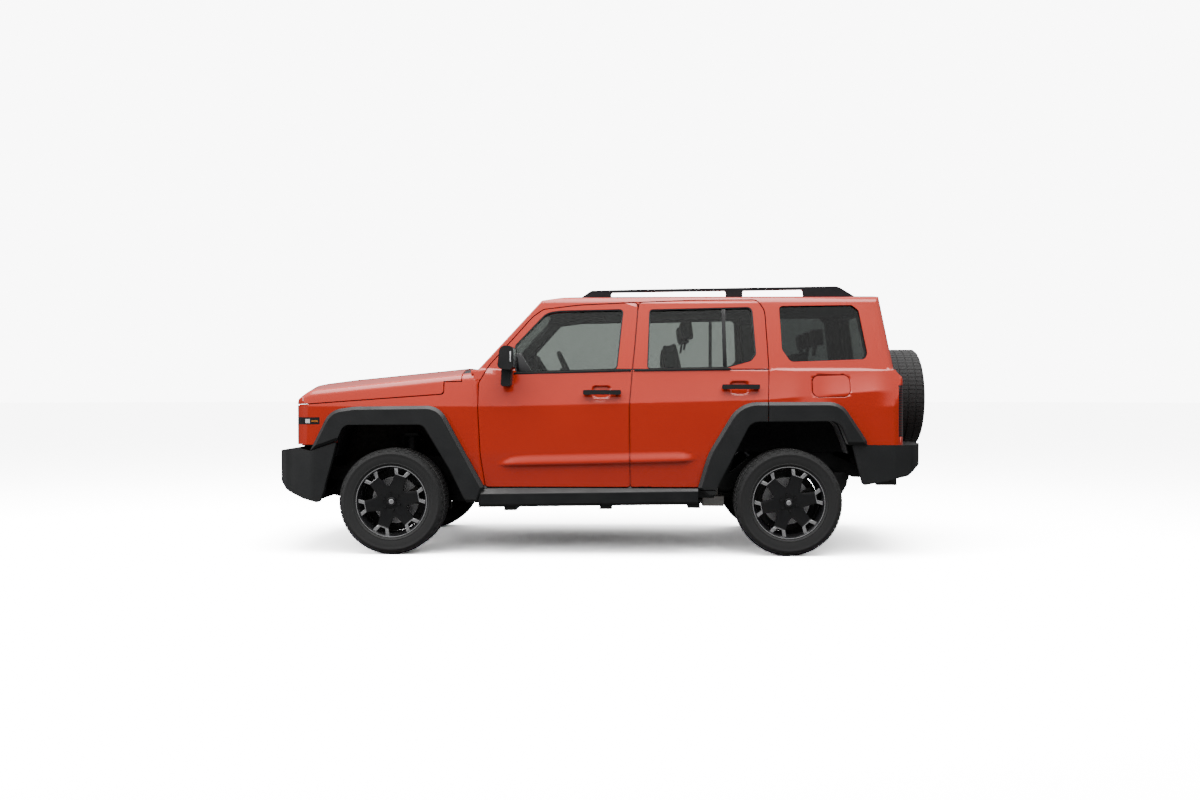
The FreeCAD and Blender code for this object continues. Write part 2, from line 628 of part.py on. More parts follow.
def build_face(lens):
    """Grille panel with its slats, and the lamps let into it."""
    plan = [
        (GRILLE_X, 0.0, 2600.0), (GRILLE_X + 12.0, 700.0, 90.0), (GRILLE_X + 66.0, GRILLE_Y, 0.0),
        (GRILLE_X + 120.0, GRILLE_Y, 0.0), (GRILLE_X + 120.0, -GRILLE_Y, 0.0),
        (GRILLE_X + 66.0, -GRILLE_Y, 0.0), (GRILLE_X + 12.0, -700.0, 90.0),
    ]
    face = prism(plan, "XY", GRILLE_Z0, GRILLE_Z1)
    inner = [(x + GRILLE_WALL, y, r) if abs(y) < 750 else (x + GRILLE_WALL, y * 0.96, r) for x, y, r in plan]
    face = face.cut(prism(inner, "XY", GRILLE_Z0 + 20.0, GRILLE_Z1 - 20.0).common(
        box(-2400.0, 0.0, -FAR, FAR, 0.0, 2000.0)))
    slots = []
    pitch = (GRILLE_Z1 - GRILLE_Z0 - 110.0) / SLATS
    for i in range(SLATS):
        z = GRILLE_Z0 + 70.0 + i * pitch
        slots.append(along_x([(-SLOT_Y, z, 8.0), (SLOT_Y, z, 8.0), (SLOT_Y, z + pitch - 24.0, 8.0),
                              (-SLOT_Y, z + pitch - 24.0, 8.0)], -2300.0, -2000.0))
    face = face.cut(slots)
    lamps = []
    for s in (-1, 1):
        bore = rod((-2300.0, s * LAMP_CENTRE_Y, LAMP_CENTRE_Z), (GRILLE_X + 112.0, s * LAMP_CENTRE_Y, LAMP_CENTRE_Z),
                   LAMP_RADIUS)
        face = face.cut(bore)
        lamps.append(rod((GRILLE_X + 10.0, s * LAMP_CENTRE_Y, LAMP_CENTRE_Z),
                         (GRILLE_X + 112.0, s * LAMP_CENTRE_Y, LAMP_CENTRE_Z), LAMP_RADIUS))
    def cut_line(x):
        return 1031.0 + (x + 2300.0) * (1119.0 - 1031.0) / (2300.0 - 1089.0) - SEAT_GAP

    buffers = [thru([(-2124.0, 1000.0, 0.0), (-2124.0, cut_line(-2124.0), 0.0), (-2108.0, cut_line(-2108.0), 0.0),
                     (-2108.0, 1000.0, 0.0)], s * 560.0 - 12.0, s * 560.0 + 12.0) for s in (-1, 1)]
    feet = [box(GRILLE_X + 24.0, GRILLE_X + 84.0, s * 380.0 - 20.0, s * 380.0 + 20.0, GRILLE_Z0 - 16.0, GRILLE_Z0 + 30.0)
            for s in (-1, 1)]
    node("grille", face.fuse(buffers + feet))
    node("front_lamps", lamps + both(lens))


def hollow_bumper(side_rows, plan_rows, wall, front):
    plan = plan_rows + [(x, -y, r) for x, y, r in reversed(plan_rows) if abs(y) > 0]
    solid = thru(side_rows, -1000.0, 1000.0).common(prism(plan, "XY", 250.0, 900.0))
    low = min(z for x, z, r in side_rows if abs(x) > 1990.0)
    high = max(z for x, z, r in side_rows)
    shell_plan = grow(plan, -wall)
    deep = -40.0 if front else 40.0
    shell_plan = [(x - deep * 20.0, y, 0.0) if abs(x) < 1800.0 else (x, y, r) for x, y, r in shell_plan]
    core = prism(shell_plan, "XY", low + 1.2 * wall, high - wall)
    nose = thru([(x - deep * 0.9, z, r) for x, z, r in side_rows], -1000.0, 1000.0)
    inner = core.common(nose) if front else core.common(box(1000.0, 2216.0, -FAR, FAR, 0.0, 2000.0))
    keep = box(-5000.0, -1985.0, -FAR, FAR, 0.0, 2000.0) if front else box(1880.0, 5000.0, -FAR, FAR, 0.0, 2000.0)
    return solid.cut(inner).common(keep).fuse(solid.cut(keep).cut(box(-5000.0, 5000.0, -900.0, 900.0, 0.0, 2000.0)))


def build_bumpers(f):
    front = hollow_bumper(FRONT_BUMPER_SIDE, FRONT_BUMPER_PLAN, BUMPER_WALL, True)
    front = front.cut(thru(FRONT_ARCH, -FAR, FAR))
    front = front.cut([box(-2500.0, -1800.0, -FAR, FAR, 765.0, 900.0).common(f.outer)])
    flare_zone = thru([(-2014.0, 719.0, 0.0), (-1820.0, 784.0, 0.0), (-1700.0, 1100.0, 0.0), (-2014.0, 1100.0, 0.0)])
    front = front.cut(flare_zone)
    front = front.cut(box(-2400.0, -1800.0, -GRILLE_Y - 2.0, GRILLE_Y + 2.0, GRILLE_Z0, 900.0))
    for y in (-TOW_Y, TOW_Y):
        front = front.cut(box(-2500.0, FRONT_RAIL_X - 24.0, y - 75.0, y + 75.0, 484.0, 596.0))
    front = front.cut(box(-2214.0, -1800.0, -336.0, 336.0, 300.0, 476.0))
    node("front_bumper", front)
    rear = hollow_bumper(REAR_BUMPER_SIDE, REAR_BUMPER_PLAN, BUMPER_WALL, False)
    rear = rear.cut(thru(grow(REAR_ARCH, 2.0), -FAR, FAR))
    rear = rear.cut(f.outer.common(box(1900.0, 2200.0, -700.0, 700.0, 640.0, 800.0)))
    rear = rear.cut(box(1700.0, RAIL_END_X, -FRAME_Y - FRAME_W - 20.0, FRAME_Y + FRAME_W + 20.0, 400.0, 640.0))
    notch = [(-340.0, 800.0, 0.0), (-250.0, 700.0, 30.0), (250.0, 700.0, 30.0), (340.0, 800.0, 0.0)]
    rear = rear.cut(along_x(notch, TAIL_X + 1.0, 2400.0))
    node("rear_bumper", largest(rear))


def flare(outer_rows, inner_rows, form, zone=None):
    """Bevelled arch moulding that stands on the body's skin."""
    base = rounded(outer_rows, "XZ", -FLARE_Y + FLARE_BEVEL)
    face = rounded(grow(outer_rows, -FLARE_BEVEL), "XZ", -FLARE_Y)
    bevel = Part.makeLoft([base, face], True, True)
    block = bevel.fuse(prism(outer_rows, "XZ", -FLARE_Y + FLARE_BEVEL, -FLARE_Y + 130.0))
    block = block.cut(thru(inner_rows, -FAR, 0.0)).cut(form)
    return block


def build_flares(f):
    front = flare(FRONT_FLARE, FRONT_ARCH, f.outer)
    front = front.cut(thru(FRONT_BUMPER_SIDE, -FAR, 0.0))
    front = front.common(box(-2100.0, -780.0, -FAR, -700.0, 366.0, 1100.0))
    rear = flare(REAR_FLARE, REAR_ARCH, f.outer)
    split = thru([(1154.0, 1100.0, 0.0), (1148.0, 600.0, 0.0), (900.0, 460.0, 0.0), (600.0, 460.0, 0.0),
                  (600.0, 1100.0, 0.0)], -FAR, 0.0)
    split_gap = thru([(1154.0 + GAP, 1100.0, 0.0), (1148.0 + GAP, 594.0, 0.0), (905.0, 460.0 - GAP, 0.0),
                      (600.0, 460.0 - GAP, 0.0), (600.0, 1100.0, 0.0)], -FAR, 0.0)
    on_door = rear.common(split)
    on_body = rear.cut(split_gap).cut(thru(grow(REAR_BUMPER_SIDE, 1.0), -FAR, 0.0))
    biggest = sorted(on_body.Solids, key=lambda s: -s.Volume)
    node("arch_flares", both(front) + [s for b in biggest if b.Volume > 20000.0 for s in both(b)])
    return on_door


def side_steps(f):
    rows = [(-880.0, 352.0, 0.0), (-948.0, 330.0, 18.0), (-962.0, 352.0, 14.0), (-958.0, 426.0, 12.0),
            (-918.0, 462.0, 10.0), (-880.0, 464.0, 0.0)]
    step = prism(rows, "YZ", -836.0, 676.0, (0.0, 0.0155))
    step = step.cut(f.outer).cut(box(-900.0, 800.0, -1000.0, -800.0, DOOR_SILL_Z - STEP_CLEAR, 600.0))
    step = step.cut(thru([(-930.0, 300.0, 0.0), (-842.0, 366.0, 0.0), (-797.0, 500.0, 0.0), (-930.0, 500.0, 0.0)]))
    brackets = []
    for x in OUTRIGGERS:
        rise = (x + 700.0) * 0.0155
        brackets.append(box(x, x + OUTRIGGER_W, -940.0, -640.0, 312.0 + rise, 346.0 + rise))
        brackets.append(box(x, x + OUTRIGGER_W, -700.0, -640.0, 312.0 + rise, OUTRIGGER_Z - SEAT_GAP))
    node("side_steps", both(step.fuse(brackets)))


def roof_rails(f):
    outer = [(-165.0, 1760.0, 0.0), (-165.0, 1788.0, 0.0), (-70.0, 1853.0, 40.0), (277.0, 1861.0, 0.0),
             (1000.0, 1871.0, 0.0), (1680.0, 1880.0, 90.0), (1803.0, 1804.0, 0.0), (1803.0, 1760.0, 0.0)]
    windows = [
        [(72.0, 1700.0, 0.0), (72.0, 1838.0, 14.0), (888.0, 1849.0, 14.0), (888.0, 1700.0, 0.0)],
        [(1006.0, 1700.0, 0.0), (1006.0, 1850.0, 14.0), (1430.0, 1856.0, 14.0), (1450.0, 1700.0, 0.0)],
    ]
    rail = thru(outer, -RAIL_Y - RAIL_W / 2, -RAIL_Y + RAIL_W / 2)
    for w in windows:
        rail = rail.cut(thru(w, -FAR, 0.0))
    rail = rail.cut(f.outer)
    rail = largest(rail)
    node("roof_rails", both(rail))


def door_fittings(f, rear_moulding):
    """Pull handles on all doors, mirrors on the front ones, the arch mouldings' ends on the rear ones."""
    out = {}
    for tag, x0, x1, z in (("front", -114.0, 147.0, 1127.0), ("rear", 842.0, 1100.0, 1165.0)):
        y = -(SHOULDER_Y - (z - SHOULDER_Z) * 0.2213)
        bar = prism([(x0, z - 15.0, 8.0), (x1, z - 15.0, 8.0), (x1, z + 17.0, 8.0), (x0, z + 17.0, 8.0)],
                    "XZ", y - 44.0, y - 20.0)
        feet = [box(xa, xa + 34.0, y - 22.0, y + 30.0, z - 12.0, z + 14.0) for xa in (x0 + 6.0, x1 - 40.0)]
        out[tag] = bar.fuse(feet).cut(f.outer)
    head = prism([(-691.0, 1290.0, 30.0), (-586.0, 1279.0, 26.0), (-581.0, 1440.0, 30.0), (-672.0, 1450.0, 46.0)],
                 "XZ", -MIRROR_Y, -MIRROR_Y + 178.0)
    foot = prism([(-678.0, 1170.0, 14.0), (-610.0, 1170.0, 14.0), (-606.0, 1292.0, 0.0), (-672.0, 1292.0, 0.0)],
                 "XZ", -MIRROR_Y + 96.0, -860.0)
    mirror = head.fuse(foot).cut(f.outer)
    mirror = largest(mirror)
    for side, flip in (("left", False), ("right", True)):
        parts = [out["front"], mirror]
        node("front_door_fittings_" + side, [other_side(p) if flip else p for p in parts])
        parts = [out["rear"], rear_moulding]
        node("rear_door_fittings_" + side, [other_side(p) if flip else p for p in parts])


def build_tailgate(f, glass_forms):
    lo, hi = 1900.0, 2400.0
    slab = f.outer.common(along_x(TAILGATE, lo, hi)).cut(f.door_inner)
    rim = f.flange.cut(along_x(grow(TAILGATE, -FLANGE_W), lo - 200.0, hi))
    gate = slab.cut(rim).cut(along_x(TAIL_WINDOW, 1700.0, hi))
    gate = largest(gate)
    outer, inner = glass_forms
    glass = outer.common(along_x(grow(TAIL_WINDOW, GLASS_LAP), 1800.0, hi)).cut(inner)
    gate = gate.cut(glass)
    node("tailgate", gate)
    node("tailgate_glass", glass)
    carrier = rod((TAIL_X - 4.0, 0.0, SPARE_Z), (SPARE_X - 8.0, 0.0, SPARE_Z), 150.0)
    hub_x = SPARE_X + TYRE_WIDTH / 2 + SPARE_HUB_W - SEAT_GAP
    carrier = carrier.fuse(rod((SPARE_X - 9.0, 0.0, SPARE_Z), (hub_x, 0.0, SPARE_Z), 66.0))
    handle = box(TAIL_X - 30.0, TAIL_X + 22.0, -640.0, -520.0, 1128.0, 1166.0)
    fittings = [s.cut(f.outer) for s in (carrier, handle)]
    node("tailgate_fittings", fittings)


def screen_and_roof(f, glass_forms, quarter):
    roof = f.outer.cut(f.sheet).common(along_x(ROOF_REGION, -1200.0, 2400.0))
    roof = roof.cut(along_x(SCREEN_OPENING, -1200.0, 0.0))
    roof = roof.cut(along_x(grow(TAILGATE, GAP), 1500.0, 2400.0))
    roof = largest(roof)
    outer, inner = glass_forms
    screen = outer.common(along_x(grow(SCREEN_OPENING, GLASS_LAP), -1200.0, -300.0)).cut(inner)
    screen = screen.common(box(-1200.0, -300.0, -FAR, FAR, 1200.0, 2000.0))
    screen = largest(screen)
    roof = roof.cut(screen)
    node("roof", roof)
    node("fixed_glass", [screen] + both(quarter))
    return screen


# ---------------------------------------------------------------- structure
def chassis():
    """Ladder frame: two kicked-up rails, cross tubes, outriggers, spring towers and hitch."""
    rows = [(-2190.0, 486.0, 0.0), (-1900.0, 486.0, 120.0), (-1750.0, 560.0, 120.0), (-1180.0, 560.0, 120.0),
            (-1000.0, 405.0, 150.0), (940.0, 405.0, 150.0), (1110.0, 590.0, 150.0), (1640.0, 590.0, 150.0),
            (1820.0, RAIL_TAIL_Z, 120.0), (RAIL_END_X, RAIL_TAIL_Z, 0.0)]
    top = [(x, z + RAIL_DEPTH - (30.0 if x < -1000 or x > 1000 else 0.0), r) for x, z, r in reversed(rows)]
    rail = prism(rows + top, "XZ", -FRAME_Y - FRAME_W, -FRAME_Y)
    rails = both(rail)
    cross = []
    for x, z in ((-2150.0, 528.0), (-860.0, 441.0), (-160.0, 441.0), (1125.0, 640.0), (2040.0, 560.0)):
        cross.append(rod((x, -FRAME_Y - 5.0, z), (x, FRAME_Y + 5.0, z), 28.0))
    mounts = []
    outer = FRAME_Y + FRAME_W
    for s in (-1, 1):
        def span(x0, x1, ya, yb, z0, z1):
            return box(x0, x1, min(s * ya, s * yb), max(s * ya, s * yb), z0, z1)

        mounts += [span(x, x + OUTRIGGER_W, outer - 4.0, SILL_IN, OUTRIGGER_Z, OUTRIGGER_Z + 40.0) for x in OUTRIGGERS]
        mounts.append(span(REAR_AXLE_X - 90.0, REAR_AXLE_X + 70.0, outer - 4.0, COIL_Y + 80.0, 662.3, 684.0))
        tower_x = FRONT_AXLE_X + STRUT_X
        mounts.append(span(tower_x - 48.0, tower_x + 48.0, outer - 4.0, 566.0, 814.0, 832.0))
        mounts.append(span(tower_x - 48.0, tower_x + 48.0, outer - 4.0, outer + 1.0, 640.0, 832.0))
    front = box(FRONT_RAIL_X - FRONT_PLATE, FRONT_RAIL_X + 14.0, -560.0, 560.0, 477.0, 600.0)
    body = rails[0].fuse(rails[1:] + cross + mounts + [front])
    node("chassis_frame", body.removeSplitter())


def tow_eye(y):
    """Plate bolted on the frame's front plate, with a shackle hole across it."""
    tip, root = FRONT_TOW_X - 38.0, FRONT_RAIL_X - FRONT_PLATE - SEAT_GAP
    rows = [(tip, 500.0, 30.0), (tip, 580.0, 30.0), (root, 580.0, 0.0), (root, 500.0, 0.0)]
    plate = prism(rows, "XZ", y - TOW_THICK / 2, y + TOW_THICK / 2)
    return plate.cut(rod((FRONT_TOW_X, y - 40.0, 540.0), (FRONT_TOW_X, y + 40.0, 540.0), TOW_BORE / 2))


def tow_points():
    """Two shackle eyes at the front and the tow bar's receiver under the frame's tail."""
    hitch = box(2080.0, HITCH_X, -HITCH_OUT / 2, HITCH_OUT / 2, 420.0, 420.0 + HITCH_OUT)
    hitch = hitch.cut(box(HITCH_X - 150.0, HITCH_X + 1.0, -HITCH_IN / 2, HITCH_IN / 2,
                          420.0 + (HITCH_OUT - HITCH_IN) / 2, 420.0 + (HITCH_OUT + HITCH_IN) / 2))
    hitch = hitch.cut(rod((HITCH_PIN_X, -80.0, 420.0 + HITCH_OUT / 2), (HITCH_PIN_X, 80.0, 420.0 + HITCH_OUT / 2),
                          HITCH_PIN_R))
    bar = box(2080.0, 2130.0, -FRAME_Y - FRAME_W, FRAME_Y + FRAME_W, 482.0, RAIL_TAIL_Z - SEAT_GAP)
    node("tow_points", [tow_eye(-TOW_Y), tow_eye(TOW_Y), hitch.fuse(bar).removeSplitter()])


def powertrain():
    rows = [(-1940.0, 590.0, 30.0), (-1940.0, 1010.0, 40.0), (-1180.0, 1010.0, 40.0), (-1010.0, 780.0, 60.0),
            (-912.0, 622.0, 40.0), (-240.0, 604.0, 60.0), (-240.0, 482.0, 40.0), (-1060.0, 482.0, 40.0),
            (-1200.0, 590.0, 0.0)]
    block = thru(rows, -270.0, 270.0).cut([box(-1150.0, 0.0, 160.0, 400.0, 0.0, 1200.0),
                                           box(-1150.0, 0.0, -400.0, -160.0, 0.0, 1200.0)])
    mounts = [box(-1560.0, -1480.0, min(s * 260.0, s * FRAME_Y), max(s * 260.0, s * FRAME_Y), 606.0, 640.0)
              for s in (-1, 1)]
    radiator = box(-2030.0, -1975.0, -356.0, 356.0, 500.0, 1010.0)
    feet = [box(-2030.0, -1975.0, min(s * 350.0, s * FRAME_Y), max(s * 350.0, s * FRAME_Y), 500.0, 560.0)
            for s in (-1, 1)]
    node("powertrain", [block.fuse(mounts), radiator.fuse(feet)])
    shaft = rod((-240.0, 0.0, 540.0), (REAR_AXLE_X - 150.0, 0.0, AXLE_Z + 12.0), 38.0)
    front = rod((-1020.0, -110.0, 490.0), (FRONT_AXLE_X + 60.0, -150.0, AXLE_Z + 20.0), 24.0)
    case = fuse([rod((FRONT_AXLE_X - 20.0, -230.0, AXLE_Z), (FRONT_AXLE_X - 20.0, -30.0, AXLE_Z), 100.0),
                 rod((FRONT_AXLE_X, -640.0, AXLE_Z), (FRONT_AXLE_X, 640.0, AXLE_Z), 22.0), front])
    node("driveline", [shaft, case])


def rear_axle():
    tube = rod((REAR_AXLE_X, -AXLE_END, AXLE_Z), (REAR_AXLE_X, AXLE_END, AXLE_Z), 44.0)
    pumpkin = Part.makeSphere(148.0, v(REAR_AXLE_X, 0.0, AXLE_Z)).fuse(
        rod((REAR_AXLE_X - 176.0, 0.0, AXLE_Z + 12.0), (REAR_AXLE_X, 0.0, AXLE_Z), 60.0))
    seats = [rod((REAR_AXLE_X - 10.0, s * COIL_Y, AXLE_Z + 36.0), (REAR_AXLE_X - 10.0, s * COIL_Y, AXLE_Z + 70.0), 72.0)
             for s in (-1, 1)]
    plates = [rod((REAR_AXLE_X, s * (AXLE_END - 22.0), AXLE_Z), (REAR_AXLE_X, s * AXLE_END, AXLE_Z), 78.0)
              for s in (-1, 1)]
    plates += [rod((REAR_AXLE_X, s * (AXLE_END - 5.0), AXLE_Z), (REAR_AXLE_X, s * HUB_FACE, AXLE_Z), 42.0)
               for s in (-1, 1)]
    ears = [box(REAR_AXLE_X - 60.0, REAR_AXLE_X + 30.0, s * 380.0 - 25.0, s * 380.0 + 25.0, AXLE_Z - 90.0, AXLE_Z)
            for s in (-1, 1)]
    calipers = [caliper(s, REAR_AXLE_X, AXLE_Z, 1.0) for s in (-1, 1)]
    node("rear_axle", fuse([tube, pumpkin] + seats + plates + ears + calipers))


def rear_links():
    links = []
    for s in (-1, 1):
        links.append(rod((760.0, s * 474.0, 410.0), (REAR_AXLE_X - 46.0, s * 380.0, AXLE_Z - 60.0), 24.0))
        links.append(box(720.0, 800.0, s * 474.0 - 34.0, s * 474.0 + 34.0, 392.0, 440.0))
    return fuse(links).Solids


def springs():
    out = []
    for s in (-1, 1):
        out.append(rod((REAR_AXLE_X - 10.0, s * COIL_Y, AXLE_Z + 70.0), (REAR_AXLE_X - 10.0, s * COIL_Y, 640.0), 60.0))
        out.append(rod((REAR_AXLE_X - 10.0, s * COIL_Y, 640.0), (REAR_AXLE_X - 10.0, s * COIL_Y, 662.0), 78.0))
        out.append(rod((FRONT_AXLE_X + STRUT_X, s * STRUT_LOW_Y, AXLE_Z + 84.0),
                       (FRONT_AXLE_X + STRUT_X, s * STRUT_TOP_Y, 801.0), 50.0))
    node("coil_springs", out)


def front_arms():
    """Lower and upper wishbones with the strut's foot."""
    out = []
    low_z = AXLE_Z - KINGPIN_HALF - SEAT_GAP
    high_z = AXLE_Z + KINGPIN_HALF + SEAT_GAP
    root = FRAME_Y + FRAME_W
    for s in (-1, 1):
        low = prism([(FRONT_AXLE_X - 215.0, s * (root - 60.0), 20.0), (FRONT_AXLE_X - 30.0, s * ARM_END, 20.0),
                     (FRONT_AXLE_X + 30.0, s * ARM_END, 20.0), (FRONT_AXLE_X + 215.0, s * (root - 60.0), 20.0)], "XY",
                    low_z - 34.0, low_z)
        low = low.cut(prism([(FRONT_AXLE_X - 120.0, s * (root - 70.0), 0.0), (FRONT_AXLE_X, s * 500.0, 20.0),
                             (FRONT_AXLE_X + 120.0, s * (root - 70.0), 0.0)], "XY", low_z - 40.0, low_z + 6.0))
        post = [box(FRONT_AXLE_X + d - 25.0, FRONT_AXLE_X + d + 25.0, s * 410.0 - 28.0, s * 410.0 + 28.0,
                    low_z - 20.0, 560.0) for d in (-180.0, 180.0)]
        perch = rod((FRONT_AXLE_X + STRUT_X, s * STRUT_LOW_Y, low_z - 5.0),
                    (FRONT_AXLE_X + STRUT_X, s * STRUT_LOW_Y, AXLE_Z + 84.0), 15.0)
        out.append(fuse([low, perch] + post))
        high = prism([(FRONT_AXLE_X - 130.0, s * root, 0.0), (FRONT_AXLE_X - 24.0, s * ARM_END, 16.0),
                      (FRONT_AXLE_X + 24.0, s * ARM_END, 16.0), (FRONT_AXLE_X + 130.0, s * root, 0.0)], "XY",
                     high_z, high_z + 24.0)
        high = high.cut(prism([(FRONT_AXLE_X - 96.0, s * (root - 4.0), 0.0), (FRONT_AXLE_X - 96.0, s * (root + 20.0), 10.0),
                               (FRONT_AXLE_X, s * 640.0, 20.0), (FRONT_AXLE_X + 96.0, s * (root + 20.0), 10.0),
                               (FRONT_AXLE_X + 96.0, s * (root - 4.0), 0.0)], "XY", high_z - 5.0, high_z + 40.0))
        high = high.cut(rod((FRONT_AXLE_X + STRUT_X, s * STRUT_LOW_Y, AXLE_Z + 80.0),
                            (FRONT_AXLE_X + STRUT_X, s * STRUT_TOP_Y, 801.0), 58.0))
        out.append(largest(high))
    return out


def caliper(s, x, z, aft):
    """Brake caliper astride the disc, behind the hub for aft = 1."""
    w0, w1 = DISC_W0, DISC_W1
    y = s * TRACK / 2
    body = ring((x, y + s * (w0 - 34.0), z), (x, y + s * (w1 + 30.0), z), 188.0, 112.0)
    gap = ring((x, y + s * (w0 - DISC_AIR), z), (x, y + s * (w1 + DISC_AIR), z), DISC_R + DISC_AIR, 100.0)
    body = body.cut(gap)
    wedge = [(x, z, 0.0), (x + aft * 260.0, z - 40.0, 0.0), (x + aft * 260.0, z + 170.0, 0.0)]
    lo, hi = sorted((y + s * (w0 - 40.0), y + s * (w1 + 40.0)))
    body = body.common(prism(wedge, "XZ", lo, hi))
    w_in = y + s * (w0 - 34.0)
    leg_lo, leg_hi = sorted((w_in - s * 16.0, w_in + s * 14.0))
    leg = prism([(x, z - 40.0, 0.0), (x + aft * 140.0, z - 10.0, 0.0), (x + aft * 140.0, z + 84.0, 0.0),
                 (x, z + 40.0, 0.0)], "XZ", leg_lo, leg_hi)
    return fuse([body, leg])


def knuckle(s):
    y = s * TRACK / 2
    w = DISC_W0 - DISC_AIR
    post = rod((FRONT_AXLE_X, s * KINGPIN_Y, AXLE_Z - KINGPIN_HALF), (FRONT_AXLE_X, s * KINGPIN_Y, AXLE_Z + KINGPIN_HALF), 20.0)
    boss = rod((FRONT_AXLE_X, s * (KINGPIN_Y + 10.0), AXLE_Z), (FRONT_AXLE_X, s * HUB_FACE, AXLE_Z), 42.0)
    carrier_y = sorted((s * (KINGPIN_Y - 10.0), y + s * (w - 2.0)))
    hub = rod((FRONT_AXLE_X, carrier_y[0], AXLE_Z), (FRONT_AXLE_X, carrier_y[1], AXLE_Z), 66.0)
    arm = box(FRONT_AXLE_X - 160.0, FRONT_AXLE_X - 20.0, min(s * 640.0, s * 690.0), max(s * 640.0, s * 690.0),
              AXLE_Z - 60.0, AXLE_Z - 36.0)
    web = box(FRONT_AXLE_X - 40.0, FRONT_AXLE_X + 20.0, min(s * 660.0, s * 720.0), max(s * 660.0, s * 720.0),
              AXLE_Z - 60.0, AXLE_Z - 30.0)
    body = fuse([post, hub, boss, arm, web, caliper(s, FRONT_AXLE_X, AXLE_Z, 1.0)])
    return body.cut(rod((FRONT_AXLE_X, s * 600.0, AXLE_Z), (FRONT_AXLE_X, s * 646.0, AXLE_Z), 60.0))


def rack():
    tube = rod((FRONT_AXLE_X - 170.0, -340.0, AXLE_Z + 20.0), (FRONT_AXLE_X - 170.0, 340.0, AXLE_Z + 20.0), 30.0)
    ties = rod((FRONT_AXLE_X - 170.0, -550.0, AXLE_Z + 20.0), (FRONT_AXLE_X - 170.0, 550.0, AXLE_Z + 20.0), 13.0)
    hang = [box(FRONT_AXLE_X - 195.0, FRONT_AXLE_X - 145.0, s * 300.0 - 20.0, s * 300.0 + 20.0, AXLE_Z + 30.0, 575.0)
            for s in (-1, 1)]
    cross = box(FRONT_AXLE_X - 200.0, FRONT_AXLE_X - 140.0, -FRAME_Y, FRAME_Y, 566.0, 586.0)
    return fuse([tube, ties, cross] + hang)


# ---------------------------------------------------------------- wheels
def tyre():
    """Casing as flat staves round the wheel, each a mirrored trapezium from bead to bead."""
    half = TYRE_WIDTH / 2
    bead = BEAD_R / math.cos(math.pi / TYRE_STAVES)
    rows = [(bead, half - 31.0), (TYRE_RADIUS - 46.0, half), (TYRE_RADIUS, half - 24.0)]
    rows += [(r, -w) for r, w in reversed(rows)]
    turns = [2 * math.pi * i / TYRE_STAVES for i in range(TYRE_STAVES + 1)]
    faces = []
    for a, b in zip(turns, turns[1:]):
        for (r1, w1), (r2, w2) in zip(rows, rows[1:] + rows[:1]):
            corners = [v(r * math.cos(t), w, r * math.sin(t)) for r, w, t in
                       ((r1, w1, a), (r2, w2, a), (r2, w2, b), (r1, w1, b))]
            faces.append(Part.Face(Part.makePolygon(corners + corners[:1])))
    shell = Part.Shell(faces)
    shell.sewShape()
    solid = Part.Solid(shell)
    if solid.Volume < 0:
        solid.reverse()
    return solid


def rim():
    """Six-spoke wheel on local axes: +Y is its outer side, origin in the centre plane."""
    half = RIM_WIDTH / 2
    pts = [(BEAD_R - 10.0, -half), (RIM_RADIUS, -half), (RIM_RADIUS, -half + 7.0), (BEAD_R - SEAT_GAP, -half + 12.0),
           (BEAD_R - SEAT_GAP, half - 12.0), (RIM_RADIUS, half - 7.0), (RIM_RADIUS, half + 2.0),
           (RIM_RADIUS - 8.0, half + 2.0), (BEAD_R - 14.0, half - 6.0), (BEAD_R - 10.0, half - 20.0)]
    wire = Part.makePolygon([v(r, w, 0) for r, w in pts] + [v(pts[0][0], pts[0][1], 0)])
    barrel = Part.Face(wire).revolve(v(0, 0, 0), v(0, 1, 0), 360)
    disc = rod((0, SPOKE_W0, 0), (0, SPOKE_W1, 0), BEAD_R - 6.0)
    cuts = []
    for i in range(SPOKES):
        a = math.radians(SPOKE_PHASE + 360.0 / SPOKES * i)
        b = math.radians(SPOKE_PHASE + 360.0 / SPOKES * (i + 0.5))

        def polar(ang, r, off):
            return (r * math.cos(ang) - off * math.sin(ang), r * math.sin(ang) + off * math.cos(ang))

        window = [polar(b, 84.0, 10.0) + (8.0,), polar(b, 84.0, -10.0) + (8.0,), polar(b, 176.0, -60.0) + (14.0,),
                  polar(b, 216.0, -50.0) + (14.0,), polar(b, 222.0, 0.0) + (0.0,), polar(b, 216.0, 50.0) + (14.0,),
                  polar(b, 176.0, 60.0) + (14.0,)]
        pocket = [polar(a, 178.0, 15.0) + (5.0,), polar(a, 178.0, -15.0) + (5.0,), polar(a, 212.0, -28.0) + (6.0,),
                  polar(a, 212.0, 28.0) + (6.0,)]
        cuts.append(prism(window, "XZ", SPOKE_W0 - 5.0, SPOKE_W1 + 5.0))
        cuts.append(prism(pocket, "XZ", SPOKE_W0 - 5.0, SPOKE_W1 + 5.0))
    disc = disc.cut(cuts)
    hub = rod((0, DISC_W1 - 2.0, 0), (0, SPOKE_W1 + 8.0, 0), 74.0)
    brake = rod((0, DISC_W0, 0), (0, DISC_W1, 0), DISC_R)
    return barrel.fuse([disc, hub, brake])


def place_wheel(shape, x, y, z, side):
    """side -1 turns the outer face to the left."""
    out = shape.copy()
    if side < 0:
        out.rotate(v(0, 0, 0), v(0, 0, 1), 180.0)
    out.translate(v(x, y, z))
    return out


